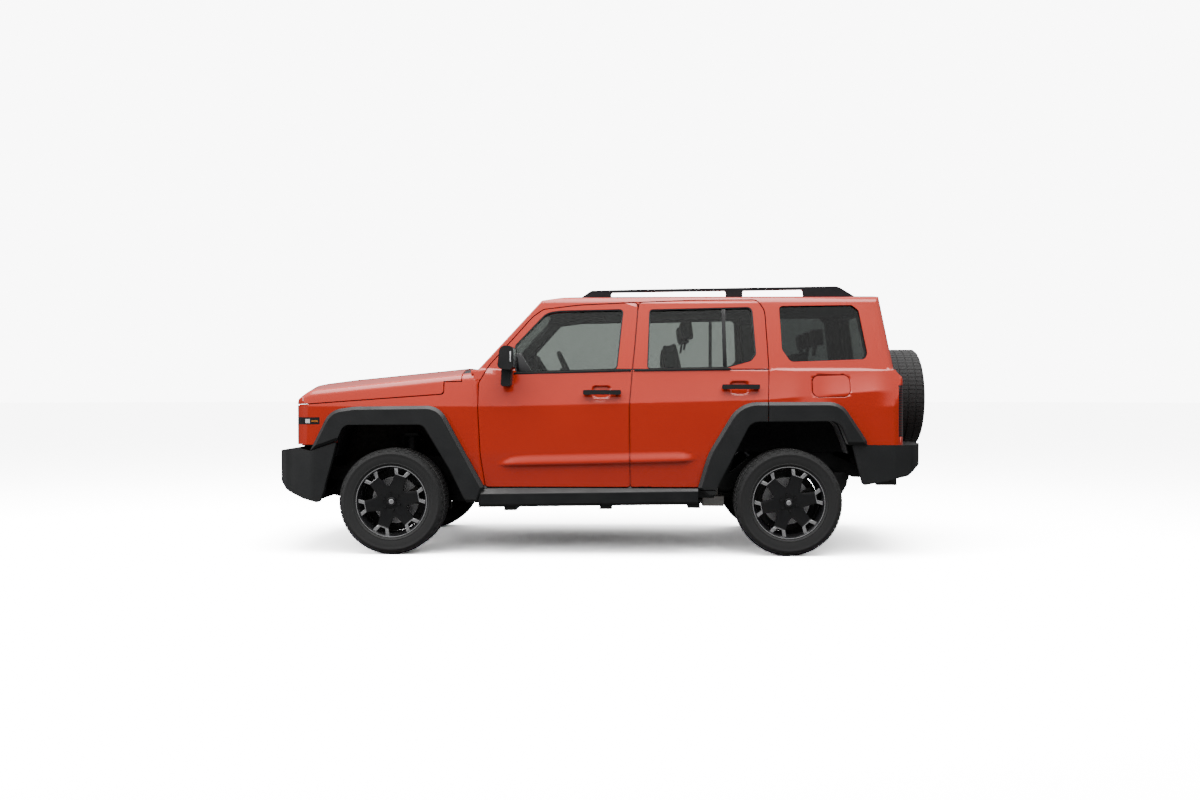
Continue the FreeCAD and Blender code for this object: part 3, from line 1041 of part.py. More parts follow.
def wheels():
    t, r = tyre(), rim()
    for tag, x, s in (("front_left", FRONT_AXLE_X, -1), ("front_right", FRONT_AXLE_X, 1),
                      ("rear_left", REAR_AXLE_X, -1), ("rear_right", REAR_AXLE_X, 1)):
        node("tyre_" + tag, place_wheel(t, x, s * TRACK / 2, AXLE_Z, s))
        node("rim_" + tag, place_wheel(r, x, s * TRACK / 2, AXLE_Z, s))
    spare_t, spare_r = t.copy(), r.cut(rod((0, -90.0, 0), (0, SPARE_HUB_W, 0), 200.0))
    for shape, name in ((spare_t, "spare_tyre"), (spare_r, "spare_rim")):
        shape = shape.copy()
        shape.rotate(v(0, 0, 0), v(0, 0, 1), -90.0)
        shape.translate(v(SPARE_X + TYRE_WIDTH / 2, 0.0, SPARE_Z))
        node(name, shape)


# ---------------------------------------------------------------- cabin
def cabin(f):
    floor_rows = [(-890.0, 560.0, 0.0), (-890.0, 1205.0, 0.0), (-868.0, 1205.0, 0.0), (-866.0, 760.0, 60.0),
                  (-640.0, FLOOR_Z + 24.0, 60.0), (900.0, FLOOR_Z + 24.0, 30.0), (960.0, LOAD_Z + 22.0, 40.0),
                  (2040.0, LOAD_Z + 22.0, 0.0), (2040.0, LOAD_Z, 0.0), (984.0, LOAD_Z, 30.0),
                  (920.0, FLOOR_Z, 30.0), (-660.0, FLOOR_Z, 60.0)]
    floor = thru(floor_rows, -FAR, FAR).common(f.body_inner)
    floor = floor.cut(thru(grow(FRONT_ARCH, 30.0), -FAR, FAR))
    tub = prism(grow(REAR_ARCH, TUB_WALL), "XZ", -TUB_OUT, -TUB_IN).cut(
        prism(REAR_ARCH, "XZ", -TUB_OUT - 1.0, -TUB_IN - TUB_WALL))
    tub = tub.cut(box(0.0, 3000.0, -FAR, 0.0, 0.0, 700.0)).common(f.body_inner)
    hollow = prism(REAR_ARCH, "XZ", -TUB_OUT - 200.0, -TUB_IN - TUB_WALL)
    floor = floor.cut([hollow, other_side(hollow)])
    tunnel = prism([(-190.0, FLOOR_Z + 10.0, 0.0), (-150.0, FLOOR_Z + 150.0, 60.0), (150.0, FLOOR_Z + 150.0, 60.0),
                    (190.0, FLOOR_Z + 10.0, 0.0)], "YZ", -700.0, 700.0)
    under = prism([(-170.0, 0.0, 0.0), (-170.0, FLOOR_Z + 90.0, 40.0), (170.0, FLOOR_Z + 90.0, 40.0),
                   (170.0, 0.0, 0.0)], "YZ", -1000.0, 500.0)
    floor = floor.fuse([tunnel, tub, other_side(tub)]).cut(under)
    node("floor_pan", largest(floor))


def rear_panel(f):
    panel = f.outer.common(box(1990.0, 2200.0, -690.0, 690.0, 640.0, 775.0)).cut(body_form(40.0, 40.0))
    panel = panel.fuse(box(2030.0, 2071.0, -690.0, 690.0, 735.0, 775.0))
    return panel


def dashboard():
    rows = [(-860.0, 1060.0, 0.0), (-860.0, 1196.0, 20.0), (-640.0, 1212.0, 60.0), (-440.0, 1190.0, 50.0),
            (-430.0, 1120.0, 40.0), (-520.0, 940.0, 60.0), (-560.0, 900.0, 0.0)]
    dash = thru(rows, -DASH_Y, DASH_Y)
    console = prism([(-520.0, FLOOR_Z + 150.0, 0.0), (-520.0, 940.0, 0.0), (-440.0, 960.0, 40.0),
                     (-60.0, 860.0, 60.0), (420.0, 840.0, 50.0), (420.0, FLOOR_Z + 150.0, 0.0)], "XZ", -110.0, 110.0)
    c = STEER_CENTRE
    n = STEER_AXIS
    column = rod((c[0] - n[0] * 420.0, c[1], c[2] - n[2] * 420.0), (c[0] - n[0] * 46.0, c[1], c[2] - n[2] * 46.0), 40.0)
    stub = rod((c[0] - n[0] * 50.0, c[1], c[2] - n[2] * 50.0), (c[0] - n[0] * 40.4, c[1], c[2] - n[2] * 40.4), 18.0)
    node("dashboard", fuse([dash, console, column, stub]))


def steering_wheel():
    turns = [2 * math.pi * i / 10 for i in range(11)]
    section = Part.makePolygon([v(STEER_R + STEER_GRIP * math.cos(t), 0.0, STEER_GRIP * math.sin(t)) for t in turns])
    torus = Part.Face(section).revolve(v(0, 0, 0), v(0, 0, 1), 360)
    hub = Part.makeCylinder(62.0, 44.0, v(0, 0, -40.0))
    bars = [box(-STEER_R, STEER_R, -16.0, 16.0, -14.0, 4.0), box(-22.0, 22.0, -STEER_R, 0.0, -14.0, 4.0)]
    wheel = torus.fuse([hub] + bars).removeSplitter()
    tilt = math.degrees(math.atan2(STEER_AXIS[0], STEER_AXIS[2]))
    wheel.rotate(v(0, 0, 0), v(0, 0, 1), 90.0)
    wheel.rotate(v(0, 0, 0), v(0, 1, 0), tilt)
    wheel.translate(Vector(*STEER_CENTRE))
    node("steering_wheel", wheel)


def seat(y):
    half = SEAT_W / 2
    cushion = prism([(-40.0, 800.0, 30.0), (-40.0, 915.0, 50.0), (460.0, 880.0, 30.0), (470.0, 770.0, 30.0)],
                    "XZ", y - half, y + half)
    back = prism([(400.0, 881.0, 20.0), (520.0, 850.0, 40.0), (640.0, 1470.0, 60.0), (545.0, 1490.0, 50.0),
                  (440.0, 1100.0, 300.0)], "XZ", y - half + 10.0, y + half - 10.0)
    head = prism([(566.0, 1520.0, 40.0), (652.0, 1510.0, 30.0), (668.0, 1640.0, 40.0), (592.0, 1660.0, 40.0)],
                 "XZ", y - 135.0, y + 135.0)
    stalks = [rod((604.0, y + d, 1450.0), (616.0, y + d, 1540.0), 7.0) for d in (-60.0, 60.0)]
    base = box(20.0, 440.0, y - SEAT_BASE / 2, y + SEAT_BASE / 2, FLOOR_Z + 24.0, 812.0)
    return cushion.fuse([back, head, base] + stalks)


def seats():
    node("front_seats", [seat(-SEAT_Y), seat(SEAT_Y)])
    cushion = prism([(930.0, 800.0, 30.0), (925.0, 950.0, 50.0), (1400.0, 925.0, 30.0), (1400.0, LOAD_Z + 22.0, 0.0),
                     (985.0, LOAD_Z + 22.0, 0.0)], "XZ", -BENCH_Y, BENCH_Y)
    back = prism([(1360.0, 900.0, 20.0), (1480.0, 890.0, 40.0), (1600.0, 1420.0, 50.0), (1500.0, 1440.0, 50.0)],
                 "XZ", -BENCH_Y, BENCH_Y)
    heads = []
    for y in (-360.0, 0.0, 360.0):
        heads.append(prism([(1520.0, 1462.0, 30.0), (1600.0, 1452.0, 30.0), (1616.0, 1590.0, 30.0),
                            (1542.0, 1600.0, 30.0)], "XZ", y - 125.0, y + 125.0))
        heads += [rod((1552.0, y + d, 1400.0), (1562.0, y + d, 1480.0), 7.0) for d in (-50.0, 50.0)]
    node("rear_seat", cushion.fuse([back] + heads))


def underbody():
    liner = prism(grow(FRONT_ARCH, FLARE_LAP), "XZ", -880.0, -LINER_IN).cut(prism(FRONT_ARCH, "XZ", -900.0, -LINER_IN + 1.0))
    liner = liner.common(box(-2100.0, -800.0, -FAR, 0.0, 420.0, 1000.0))
    liner = liner.cut(thru(FRONT_BUMPER_SIDE, -FAR, 0.0))
    liner = largest(liner)
    guard = [(-2200.0, 462.0, 0.0), (-2120.0, 400.0, 30.0), (-1960.0, 356.0, 60.0), (-1750.0, 340.0, 0.0),
             (-1750.0, 334.0, 0.0), (-1965.0, 350.0, 60.0), (-2125.0, 393.0, 30.0), (-2210.0, 460.0, 0.0)]
    plate = thru(guard, -330.0, 330.0)
    hangers = [box(-2200.0, -2150.0, s * 310.0 - 10.0, s * 310.0 + 10.0, 425.0, 477.0) for s in (-1, 1)]
    node("underguards", both(liner) + [fuse([plate] + hangers)])
    tank = box(300.0, 960.0, 70.0, 350.0, 330.0, 520.0)
    straps = [box(x, x + 40.0, 60.0, FRAME_Y, 500.0, 528.0) for x in (380.0, 840.0)]
    node("fuel_tank", fuse([tank] + straps))
    silencer = box(720.0, 870.0, -700.0, -514.0, 322.0, 392.0)
    pipe = tube_path([(-900.0, -230.0, 380.0), (-300.0, -250.0, 374.0), (300.0, -250.0, 370.0),
                      (560.0, -540.0, 365.0), (740.0, -610.0, 358.0)], 26.0, 160.0)
    hanger = box(816.0, 836.0, -560.0, -FRAME_Y - FRAME_W, 427.0, 440.0)
    leg = box(816.0, 836.0, -560.0, -520.0, 380.0, 440.0)
    node("exhaust", fuse([silencer, pipe, hanger, leg]))


def tail_lamps(f):
    lamp = f.outer.common(box(LAMP_X, 2200.0, -FAR, -LAMP_Y, LAMP_Z0, LAMP_Z1))
    lamp = lamp.cut(body_form(70.0, 70.0))
    node("tail_lamps", [s for b in lamp.Solids for s in both(b)])


def cowl():
    rows = [(BONNET_REAR_X + GAP, 1262.0, 0.0), (-895.0, 1262.0, 10.0), (-868.0, 1240.0, 0.0),
            (-868.0, 1206.0, 0.0), (-955.0, 1206.0, 0.0)]
    panel = thru(rows, -COWL_Y, COWL_Y)
    node("cowl", panel)


CARVES = [  # a piece and the neighbours it is notched round
    ("front_bumper", ["chassis_frame", "powertrain"]),
    ("rear_bumper", ["chassis_frame", "tow_points", "rear_panel"]),
    ("underguards", ["arch_flares", "chassis_frame", "front_bumper"]),
    ("side_steps", ["arch_flares"]),
    ("driveline", ["powertrain", "rear_axle"]),
    ("suspension_links", ["rear_axle", "coil_springs", "chassis_frame"]),
    ("cowl", ["front_wings"]),
    ("grille", ["front_bumper"]),
    ("floor_pan", ["powertrain", "chassis_frame", "body_side_left", "body_side_right"]),
    ("rear_seat", ["floor_pan"]),
]


# ---------------------------------------------------------------- build
def main():
    f = Forms()
    f.flap = body_form(FLAP_T, FLAP_T)
    f.pocket = body_form(FLAP_T + 26.0, FLAP_T + 26.0)
    f.stop = body_form(FLAP_T + SEAT_GAP, FLAP_T + SEAT_GAP)
    glass_forms = (greenhouse_form(GLASS_IN), greenhouse_form(GLASS_IN + GLASS_T))
    build_doors(f, glass_forms)
    side, quarter, flap = build_sides(f, glass_forms)
    screen = screen_and_roof(f, glass_forms, quarter)
    panel = rear_panel(f)
    side = side.cut(screen).cut(panel)
    side = largest(side)
    node("body_side_left", side)
    node("body_side_right", other_side(side))
    node("fuel_flap", flap)
    nose, lens = build_front(f)
    build_face(lens)
    build_bumpers(f)
    rear_moulding = build_flares(f)
    side_steps(f)
    roof_rails(f)
    door_fittings(f, rear_moulding)
    build_tailgate(f, glass_forms)
    tail_lamps(f)
    node("rear_panel", panel)
    cowl()
    chassis()
    tow_points()
    powertrain()
    rear_axle()
    springs()
    steering = rack()
    node("suspension_links", [a.cut(steering) for a in front_arms()] + [steering] + rear_links())
    node("knuckle_left", knuckle(-1))
    node("knuckle_right", knuckle(1))
    wheels()
    cabin(f)
    dashboard()
    steering_wheel()
    seats()
    underbody()
    for name, cutters in CARVES:
        shape = Part.makeCompound(NODES[name])
        for other in cutters:
            shape = shape.cut(NODES[other])
        node(name, [s for s in shape.Solids if s.Volume > 3000.0])
    for name, solids in NODES.items():
        solids = [s for s in solids if s.Volume > 500.0]
        shape = solids[0] if len(solids) == 1 else Part.makeCompound(solids)
        ok = all(s.isValid() for s in solids)
        bb = shape.BoundBox
        print("%-28s %2d solids %s  %8.3f dm3  x %6.0f %6.0f  y %6.0f %6.0f  z %6.0f %6.0f" % (
            name, len(solids), "ok " if ok else "BAD", shape.Volume / 1e6,
            bb.XMin, bb.XMax, bb.YMin, bb.YMax, bb.ZMin, bb.ZMax))
        shape.exportStep("parts/%s.step" % name)


if __name__ == "__main__":
    main()
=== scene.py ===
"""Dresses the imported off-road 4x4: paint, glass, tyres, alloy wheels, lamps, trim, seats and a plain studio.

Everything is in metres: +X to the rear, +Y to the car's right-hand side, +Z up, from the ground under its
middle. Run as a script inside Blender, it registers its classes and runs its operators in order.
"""

import math

import bmesh
import bpy
from bpy.props import FloatProperty, FloatVectorProperty, IntProperty, PointerProperty
from mathutils import Matrix, Vector
from mathutils.bvhtree import BVHTree


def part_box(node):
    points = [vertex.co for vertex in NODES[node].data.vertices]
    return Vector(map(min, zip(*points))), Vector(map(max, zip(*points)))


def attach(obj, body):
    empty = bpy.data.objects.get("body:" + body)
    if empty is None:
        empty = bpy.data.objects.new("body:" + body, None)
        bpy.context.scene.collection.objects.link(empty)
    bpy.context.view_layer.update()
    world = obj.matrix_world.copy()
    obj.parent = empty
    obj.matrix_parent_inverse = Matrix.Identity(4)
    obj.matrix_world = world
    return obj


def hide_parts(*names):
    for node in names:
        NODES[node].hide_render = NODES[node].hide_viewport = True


bl_info = {
    "name": "Off-road 4x4 dressing",
    "version": (1, 0, 0),
    "blender": (4, 5, 0),
    "location": "View3D > Sidebar > Off-road 4x4",
    "description": "Finishes, wheels, lamps, trim, seats and studio for the packed off-road 4x4",
    "category": "Object",
}

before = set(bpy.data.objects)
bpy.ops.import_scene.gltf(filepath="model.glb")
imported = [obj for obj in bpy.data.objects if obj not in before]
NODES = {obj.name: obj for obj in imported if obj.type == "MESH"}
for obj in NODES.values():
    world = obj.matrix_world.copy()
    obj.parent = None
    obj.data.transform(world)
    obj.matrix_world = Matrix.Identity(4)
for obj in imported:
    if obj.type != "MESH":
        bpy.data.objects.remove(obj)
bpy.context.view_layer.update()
TYRE_RADIUS = AXLE_Z = 0.368
REAR_AXLE_X = 1.300
SIDES = (("left", -1.0), ("right", 1.0))


# ---------------------------------------------------------------- materials
NOISE, CELLS, BANDS = "TexNoise", "TexVoronoi", "TexWave"

# What a kind of surface has: values of the Principled shader; the patches of its second tone, as size and
# detail; the wander of its roughness, as how far under and over its value, and size; and its relief, as
# texture, size, detail, strength and depth. Sizes and depths are in millimetres.
KINDS = {
    # sprayed car paint: a coloured base coat under clear lacquer, with peel ripples
    "car_paint": ({"Roughness": 0.38, "IOR": 1.5, "Coat Weight": 1.0, "Coat Roughness": 0.035,
                   "Coat IOR": 1.5}, (455, 3), None, (NOISE, 6.25, 1, 0.04, 0.4)),
    # injection-moulded plastic with a leather-like grain
    "polypropylene": ({"Roughness": 0.5, "IOR": 1.49},
                      (286, 3), (-0.06, 0.08, 111), (CELLS, 3.3, 0, 0.25, 0.4)),
    # piano-gloss plastic or powder coat: smooth, with a faint sink ripple
    "abs": ({"Roughness": 0.12, "IOR": 1.53, "Coat Weight": 0.6, "Coat Roughness": 0.05},
            None, (0.0, 0.08, 33.3), (NOISE, 71.4, 1, 0.05, 1.0)),
    # tempered glass, tinted in its mass and a little wavy
    "glass": ({"Roughness": 0.0, "IOR": 1.45, "Transmission Weight": 1.0},
              None, None, (NOISE, 625, 0, 0.02, 2.0)),
    # carbon-black rubber: dull, a touch browner and paler where it has bloomed
    "rubber": ({"Roughness": 0.78, "IOR": 1.52, "Sheen Weight": 0.15, "Sheen Roughness": 0.5},
               (167, 3), None, (NOISE, 2.38, 2, 0.2, 0.4)),
    # wheel face turned bright under lacquer; its cutter marks are drawn coarser than real ones, so as to show
    "turned_metal": ({"Metallic": 1.0, "Roughness": 0.3, "Coat Weight": 0.5, "Coat Roughness": 0.08},
                     None, (-0.06, 0.06, 25), (NOISE, 2.0, 1, 0.08, 0.2)),
    # stoved enamel on metal: even colour, soft gloss, slight sag ripples
    "enamel": ({"Roughness": 0.5, "IOR": 1.5, "Coat Weight": 0.3, "Coat Roughness": 0.15},
               (125, 3), None, (NOISE, 16.7, 2, 0.08, 0.6)),
    # cast, rolled or ground bare metal: tone and gloss wander with the grain of its making
    "metal": ({"Metallic": 1.0}, (83.3, 6), (-0.08, 0.10, 40), (NOISE, 2.0, 3, 0.15, 0.8)),
    # pigmented cow hide: pebbled grain, soft sheen, worn smoother in patches
    "leather": ({"Roughness": 0.5, "IOR": 1.5, "Sheen Weight": 0.1, "Sheen Roughness": 0.4},
                (143, 3), (-0.08, 0.10, 91), (CELLS, 2.63, 0, 0.35, 0.6)),
    # needle-punched carpet or felt: dark fibres in a fine fuzz
    "carpet": ({"Roughness": 0.95, "Sheen Weight": 0.4, "Sheen Roughness": 0.6},
               (6.25, 3), None, (NOISE, 3.33, 4, 0.6, 2.0)),
    # moulded polycarbonate with faint optic flutes
    "lens": ({"Roughness": 0.03, "IOR": 1.58, "Transmission Weight": 1.0},
             None, None, (BANDS, 5.24, 0, 0.12, 1.0)),
    # smoked acrylic over rows of diodes, which show through as bands of deeper red
    "diode_rows": ({"Roughness": 0.08, "IOR": 1.49, "Coat Weight": 1.0, "Coat Roughness": 0.03},
                   None, None, (BANDS, 18.5, 0, 0.1, 1.0)),
}
# kind, real material, first tone, second tone, changed shader values, then size and strength of another grain
FINISHES = {
    "paint": ("car_paint", "orange_base_and_clear_coat", "paint", "paint_shade", {}),
    "moulding": ("polypropylene", "grained_black_polypropylene", "#1D1E1F", "#222324", {}),
    "step": ("polypropylene", "smooth_black_polypropylene", "#131415", "#17181A", {"Roughness": 0.42}),
    "dash": ("polypropylene", "slush_moulded_dashboard_skin", "#19191B", "#1E1E20", {"Roughness": 0.6}),
    "gloss": ("abs", "gloss_black_abs", "#121214", None, {}),
    "satin": ("abs", "satin_black_powder_coat", "#1C1D20", None, {"Roughness": 0.34}),
    "diode": ("abs", "white_diode_diffuser", "#F4F5F7", None, {"Roughness": 0.2}),
    "plate": ("abs", "blank_white_plate_enamel", "#D8D9DA", None, {"Roughness": 0.3}),
    "screen": ("abs", "dark_display_glass", "#07080A", None, {"Roughness": 0.06}),
    "glass": ("glass", "tinted_tempered_glass", "glass", None, {}),
    "privacy": ("glass", "grey_privacy_glass", "#6C716F", None, {}),
    "rubber": ("rubber", "tyre_rubber", "#1F1F20", "#272727", {}),
    "seal": ("rubber", "epdm_window_seal", "#101011", "#141415", {"Roughness": 0.6}),
    "turned": ("turned_metal", "diamond_turned_aluminium", "#F1F2F3", None, {}),
    "wheel_black": ("enamel", "gloss_black_wheel_enamel", "#141415", "#18181A", {"Roughness": 0.3}),
    "frame": ("enamel", "black_chassis_enamel", "#141414", "#1B1A19", {}),
    "iron": ("metal", "sand_cast_iron", "#5A5856", "#47423E", {"Roughness": 0.6}, 3.0, 0.4),
    "disc": ("metal", "ground_brake_disc_steel", "#EDEDEE", "#DADAD9", {"Roughness": 0.5}),
    "exhaust": ("metal", "aluminised_exhaust_steel", "#B4B3B0", "#9C9893", {"Roughness": 0.45}, 4.0, 0.15),
    "chrome": ("metal", "bright_chrome_plate", "#E4E5E8", "#DDDEE2", {"Roughness": 0.12}, 20.0, 0.02),
    "leather": ("leather", "black_grained_leather", "#1B1B1D", "#222224", {}),
    "carpet": ("carpet", "black_needle_carpet", "#121213", "#1D1D1F", {}),
    "felt": ("carpet", "black_wheel_arch_felt", "#0B0B0B", "#121212", {}),
    "lens": ("lens", "clear_polycarbonate_lens", "#F0F2F4", None, {}),
    "amber": ("lens", "amber_polycarbonate_lens", "#F2A24A", None,
              {"Roughness": 0.05, "Transmission Weight": 0.6}),
    "smoke": ("lens", "smoked_polycarbonate_lens", "#3A3B3D", None,
              {"Roughness": 0.05, "Transmission Weight": 0.5}),
    "reflex": ("lens", "red_reflex_acrylic", "#B0120C", None,
               {"Roughness": 0.1, "Transmission Weight": 0.15}),
    "tail": ("diode_rows", "smoked_red_acrylic", "#140303", "#5A0907", {}),
}


def linear(colour):
    """An sRGB hex colour as linear red, green, blue and alpha."""
    def channel(text):
        value = int(text, 16) / 255.0
        return value / 12.92 if value <= 0.04045 else ((value + 0.055) / 1.055) ** 2.4

    return tuple(channel(colour[i:i + 2]) for i in (1, 3, 5)) + (1.0,)


def tone(text):
    """A tone of the table: a hex colour, or the name of a setting."""
    return linear(text) if text[0] == "#" else tuple(getattr(bpy.context.scene.offroad_finishes, text))


def add(tree, kind, settings=(), links=()):
    """Adds a shader node, sets its sockets or properties and links its inputs, each by name or number."""
    node = tree.nodes.new("ShaderNode" + kind)
    for key, value in dict(settings).items():
        if isinstance(key, int) or key in node.inputs:
            node.inputs[key].default_value = value
        else:
            setattr(node, key, value)
    for key, socket in dict(links).items():
        tree.links.new(socket, node.inputs[key])
    return node


def new_material(name, values):
    """A material whose Principled shader has these values, its node tree and the Object coordinates."""
    material = bpy.data.materials.new(name)
    material.use_nodes = True
    tree = material.node_tree
    shader = tree.nodes["Principled BSDF"]
    for key, value in values.items():
        shader.inputs[key].default_value = value
    return material, tree, shader, add(tree, "TexCoord").outputs["Object"]


def texture(tree, place, kind, size, detail):
    """The height of a texture whose features are so many millimetres across; bands repeat at that spacing."""
    settings = {"Scale": 1000.0 / size, "Detail": detail}
    if kind == BANDS:
        settings = {"Scale": math.tau / 20.0 * 1000.0 / size, "bands_direction": "Z"}
    node = add(tree, kind, settings, {"Vector": place})
    return node.outputs["Distance" if kind == CELLS else "Fac"]


def finish(key):
    """A finish of the table, made when it is first asked for."""
    kind, name, first, second, changes, *grain = FINISHES[key]
    if name in bpy.data.materials:
        return bpy.data.materials[name]
    values, patches, spread, (relief, size, detail, strength, depth) = KINDS[kind]
    size, strength = grain or (size, strength)
    values = {**values, **changes, "Base Color": tone(first)}
    material, tree, shader, place = new_material(name, values)
    height = texture(tree, place, relief, size, detail)
    bump = add(tree, "Bump", {"Strength": strength, "Distance": depth / 1000.0}, {"Height": height})
    tree.links.new(bump.outputs["Normal"], shader.inputs["Normal"])
    if spread:
        under, over, size = spread
        gloss = add(tree, "MapRange", {
            "From Min": 0.3, "From Max": 0.7, "To Min": values["Roughness"] + under,
            "To Max": values["Roughness"] + over}, {"Value": texture(tree, place, NOISE, size, 4)})
        tree.links.new(gloss.outputs["Result"], shader.inputs["Roughness"])
    if second:
        if patches:
            share = texture(tree, place, NOISE, *patches)
        else:
            tops = add(tree, "MapRange", {"From Min": 0.55, "From Max": 0.8}, {"Value": height})
            share = tops.outputs["Result"]
        tones = add(tree, "Mix", {"data_type": "RGBA", 6: tone(first), 7: tone(second)}, {0: share})
        tree.links.new(tones.outputs[2], shader.inputs["Base Color"])
    return material


# ---------------------------------------------------------------- mesh helpers
def new_object(name, bm, materials):
    """An object in the scene with the bmesh's mesh and these materials."""
    mesh = bpy.data.meshes.new(name)
    bm.to_mesh(mesh)
    bm.free()
    for material in materials:
        mesh.materials.append(material)
    made = bpy.data.objects.new(name, mesh)
    bpy.context.scene.collection.objects.link(made)
    return made


def piece(name, bm, keys, body, node=None, angle=32.0):
    """Turns a bmesh into a finished piece that rides on a body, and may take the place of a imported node."""
    made = new_object(name, bm, [finish(key) for key in keys])
    made.data.shade_smooth()
    made.data.set_sharp_from_angle(angle=math.radians(angle))
    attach(made, body)
    if node:
        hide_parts(node)
    return made


def tidy(bm):
    """Merges doubles and turns every face outwards."""
    bmesh.ops.remove_doubles(bm, verts=bm.verts, dist=1e-5)
    bmesh.ops.recalc_face_normals(bm, faces=bm.faces)


def placed(name, bm, keys, body, node=None, seat=None, angle=32.0):
    """A piece that is made clean and then moved to its seat."""
    tidy(bm)
    if seat:
        bmesh.ops.transform(bm, matrix=seat, verts=bm.verts)
    return piece(name, bm, keys, body, node, angle)


def paint_over(faces, index):
    for f in faces:
        f.material_index = index


def revolve(bm, rows, steps, closed=True, material=0):
    """Spins a profile of (radius, width) rows round the Y axis and returns the new faces."""
    old = set(bm.faces)
    verts = [bm.verts.new((r, w, 0.0)) for r, w in rows]
    pairs = list(zip(verts, verts[1:])) + ([(verts[-1], verts[0])] if closed else [])
    edges = [bm.edges.new(pair) for pair in pairs]
    bmesh.ops.spin(bm, geom=verts + edges, axis=(0, 1, 0), angle=math.tau, steps=steps, use_merge=True)
    faces = [f for f in bm.faces if f not in old]
    paint_over(faces, material)
    return faces


def block(bm, low, high, bevel, material=0):
    """A box between two corners, in either order, with rounded edges."""
    low, high = Vector(low), Vector(high)
    made = bmesh.ops.create_cube(bm, size=1.0)["verts"]
    bmesh.ops.scale(bm, vec=[abs(d) for d in high - low], verts=made)
    bmesh.ops.translate(bm, vec=(low + high) / 2, verts=made)
    paint_over({f for v in made for f in v.link_faces}, material)
    edges = list({e for v in made for e in v.link_edges})
    bmesh.ops.bevel(bm, geom=edges, offset=bevel, segments=2, profile=0.5, affect="EDGES", material=-1)
    return bm


def slab(bm, rows, low, high, bevel):
    """An outline of (x, z) rows pushed along Y from low to high, its far edges rounded."""
    face = bm.faces.new([bm.verts.new((x, low, z)) for x, z in rows])
    grown = bmesh.ops.extrude_face_region(bm, geom=[face], use_keep_orig=True)
    moved = [v for v in grown["geom"] if isinstance(v, bmesh.types.BMVert)]
    bmesh.ops.translate(bm, vec=(0, high - low, 0), verts=moved)
    rim = list({e for v in moved for e in v.link_edges if all(w in moved for w in e.verts)})
    bmesh.ops.bevel(bm, geom=rim, offset=bevel, segments=2, profile=0.5, affect="EDGES", material=-1)
    return bm


def cone(bm, segments, foot, top, length, seat, material=0):
    """A round or many-sided peg with capped ends."""
    made = bmesh.ops.create_cone(bm, cap_ends=True, segments=segments, radius1=foot, radius2=top,
                                 depth=length, matrix=seat)
    paint_over({f for v in made["verts"] for f in v.link_faces}, material)


def bar(bm, start, end, radius, segments=12, material=0):
    """A round bar between two points."""
    start, end = Vector(start), Vector(end)
    turn = (end - start).to_track_quat("Z", "Y").to_matrix().to_4x4()
    cone(bm, segments, radius, radius, (end - start).length, Matrix.Translation((start + end) / 2) @ turn,
         material)


def laid_on(name, node, side, low, high, key):
    """A 2 mm plate between two (x, z) corners that lies on a packed panel's outer side."""
    source = bmesh.new()
    source.from_mesh(NODES[node].data)
    tree = BVHTree.FromBMesh(source)
    source.free()
    bm = bmesh.new()
    bmesh.ops.create_grid(bm, x_segments=4, y_segments=2, size=0.5)
    for v in bm.verts:
        x = low[0] + (high[0] - low[0]) * (v.co.x + 0.5)
        z = low[1] + (high[1] - low[1]) * (v.co.y + 0.5)
        hit = tree.ray_cast(Vector((x, side * 2.0, z)), Vector((0, -side, 0)))[0]
        if hit is None:
            raise RuntimeError(f"{name}: nothing of {node} under it at {x:.3f}, {z:.3f}")
        v.co = Vector((x, hit.y + side * 0.0012, z))
    bmesh.ops.recalc_face_normals(bm, faces=bm.faces)
    if sum(f.normal.y for f in bm.faces) * side < 0:
        bmesh.ops.reverse_faces(bm, faces=bm.faces)
    bmesh.ops.solidify(bm, geom=bm.faces[:], thickness=-0.002)
    bmesh.ops.recalc_face_normals(bm, faces=bm.faces)
    return piece(name, bm, [key], "vehicle", angle=40.0)


def plain_copy(node):
    """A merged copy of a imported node."""
    bm = bmesh.new()
    bm.from_mesh(NODES[node].data)
    bmesh.ops.remove_doubles(bm, verts=bm.verts, dist=1e-5)
    bm.normal_update()
    return bm


def cut(bm, planes, faces=None):
    """Cuts all of a mesh, or only some faces, by planes of (point, normal)."""
    faces = bm.faces[:] if faces is None else faces
    geom = faces + list(dict.fromkeys(e for f in faces for e in f.edges))
    geom += list(dict.fromkeys(v for f in faces for v in f.verts))
    for spot, normal in planes:
        geom = bmesh.ops.bisect_plane(bm, geom=geom, dist=1e-6, plane_co=spot, plane_no=normal)["geom"]


def across(axis, places):
    """Planes square to an axis at these places."""
    normal = tuple(1.0 if letter == axis else 0.0 for letter in "xyz")
    return [(Vector(normal) * place, normal) for place in places]


def triangulate(bm):
    bmesh.ops.triangulate(bm, faces=[f for f in bm.faces if len(f.verts) > 3])


# ---------------------------------------------------------------- settings
def colour_setting(name, description, default):
    return FloatVectorProperty(name=name, description=description, subtype="COLOR", size=4, min=0.0, max=1.0,
                               default=default)


class FinishSettings(bpy.types.PropertyGroup):
    """Colours of the finishes that are seen first."""
    paint: colour_setting("Body paint", "Base coat under the lacquer", (0.64, 0.024, 0.0003, 1.0))
    paint_shade: colour_setting("Body paint, shaded", "Darker tone that the base coat wanders to",
                                (0.57, 0.019, 0.0002, 1.0))
    glass: colour_setting("Glass tint", "Tint of the glass in its mass", linear("#A6ACA8"))


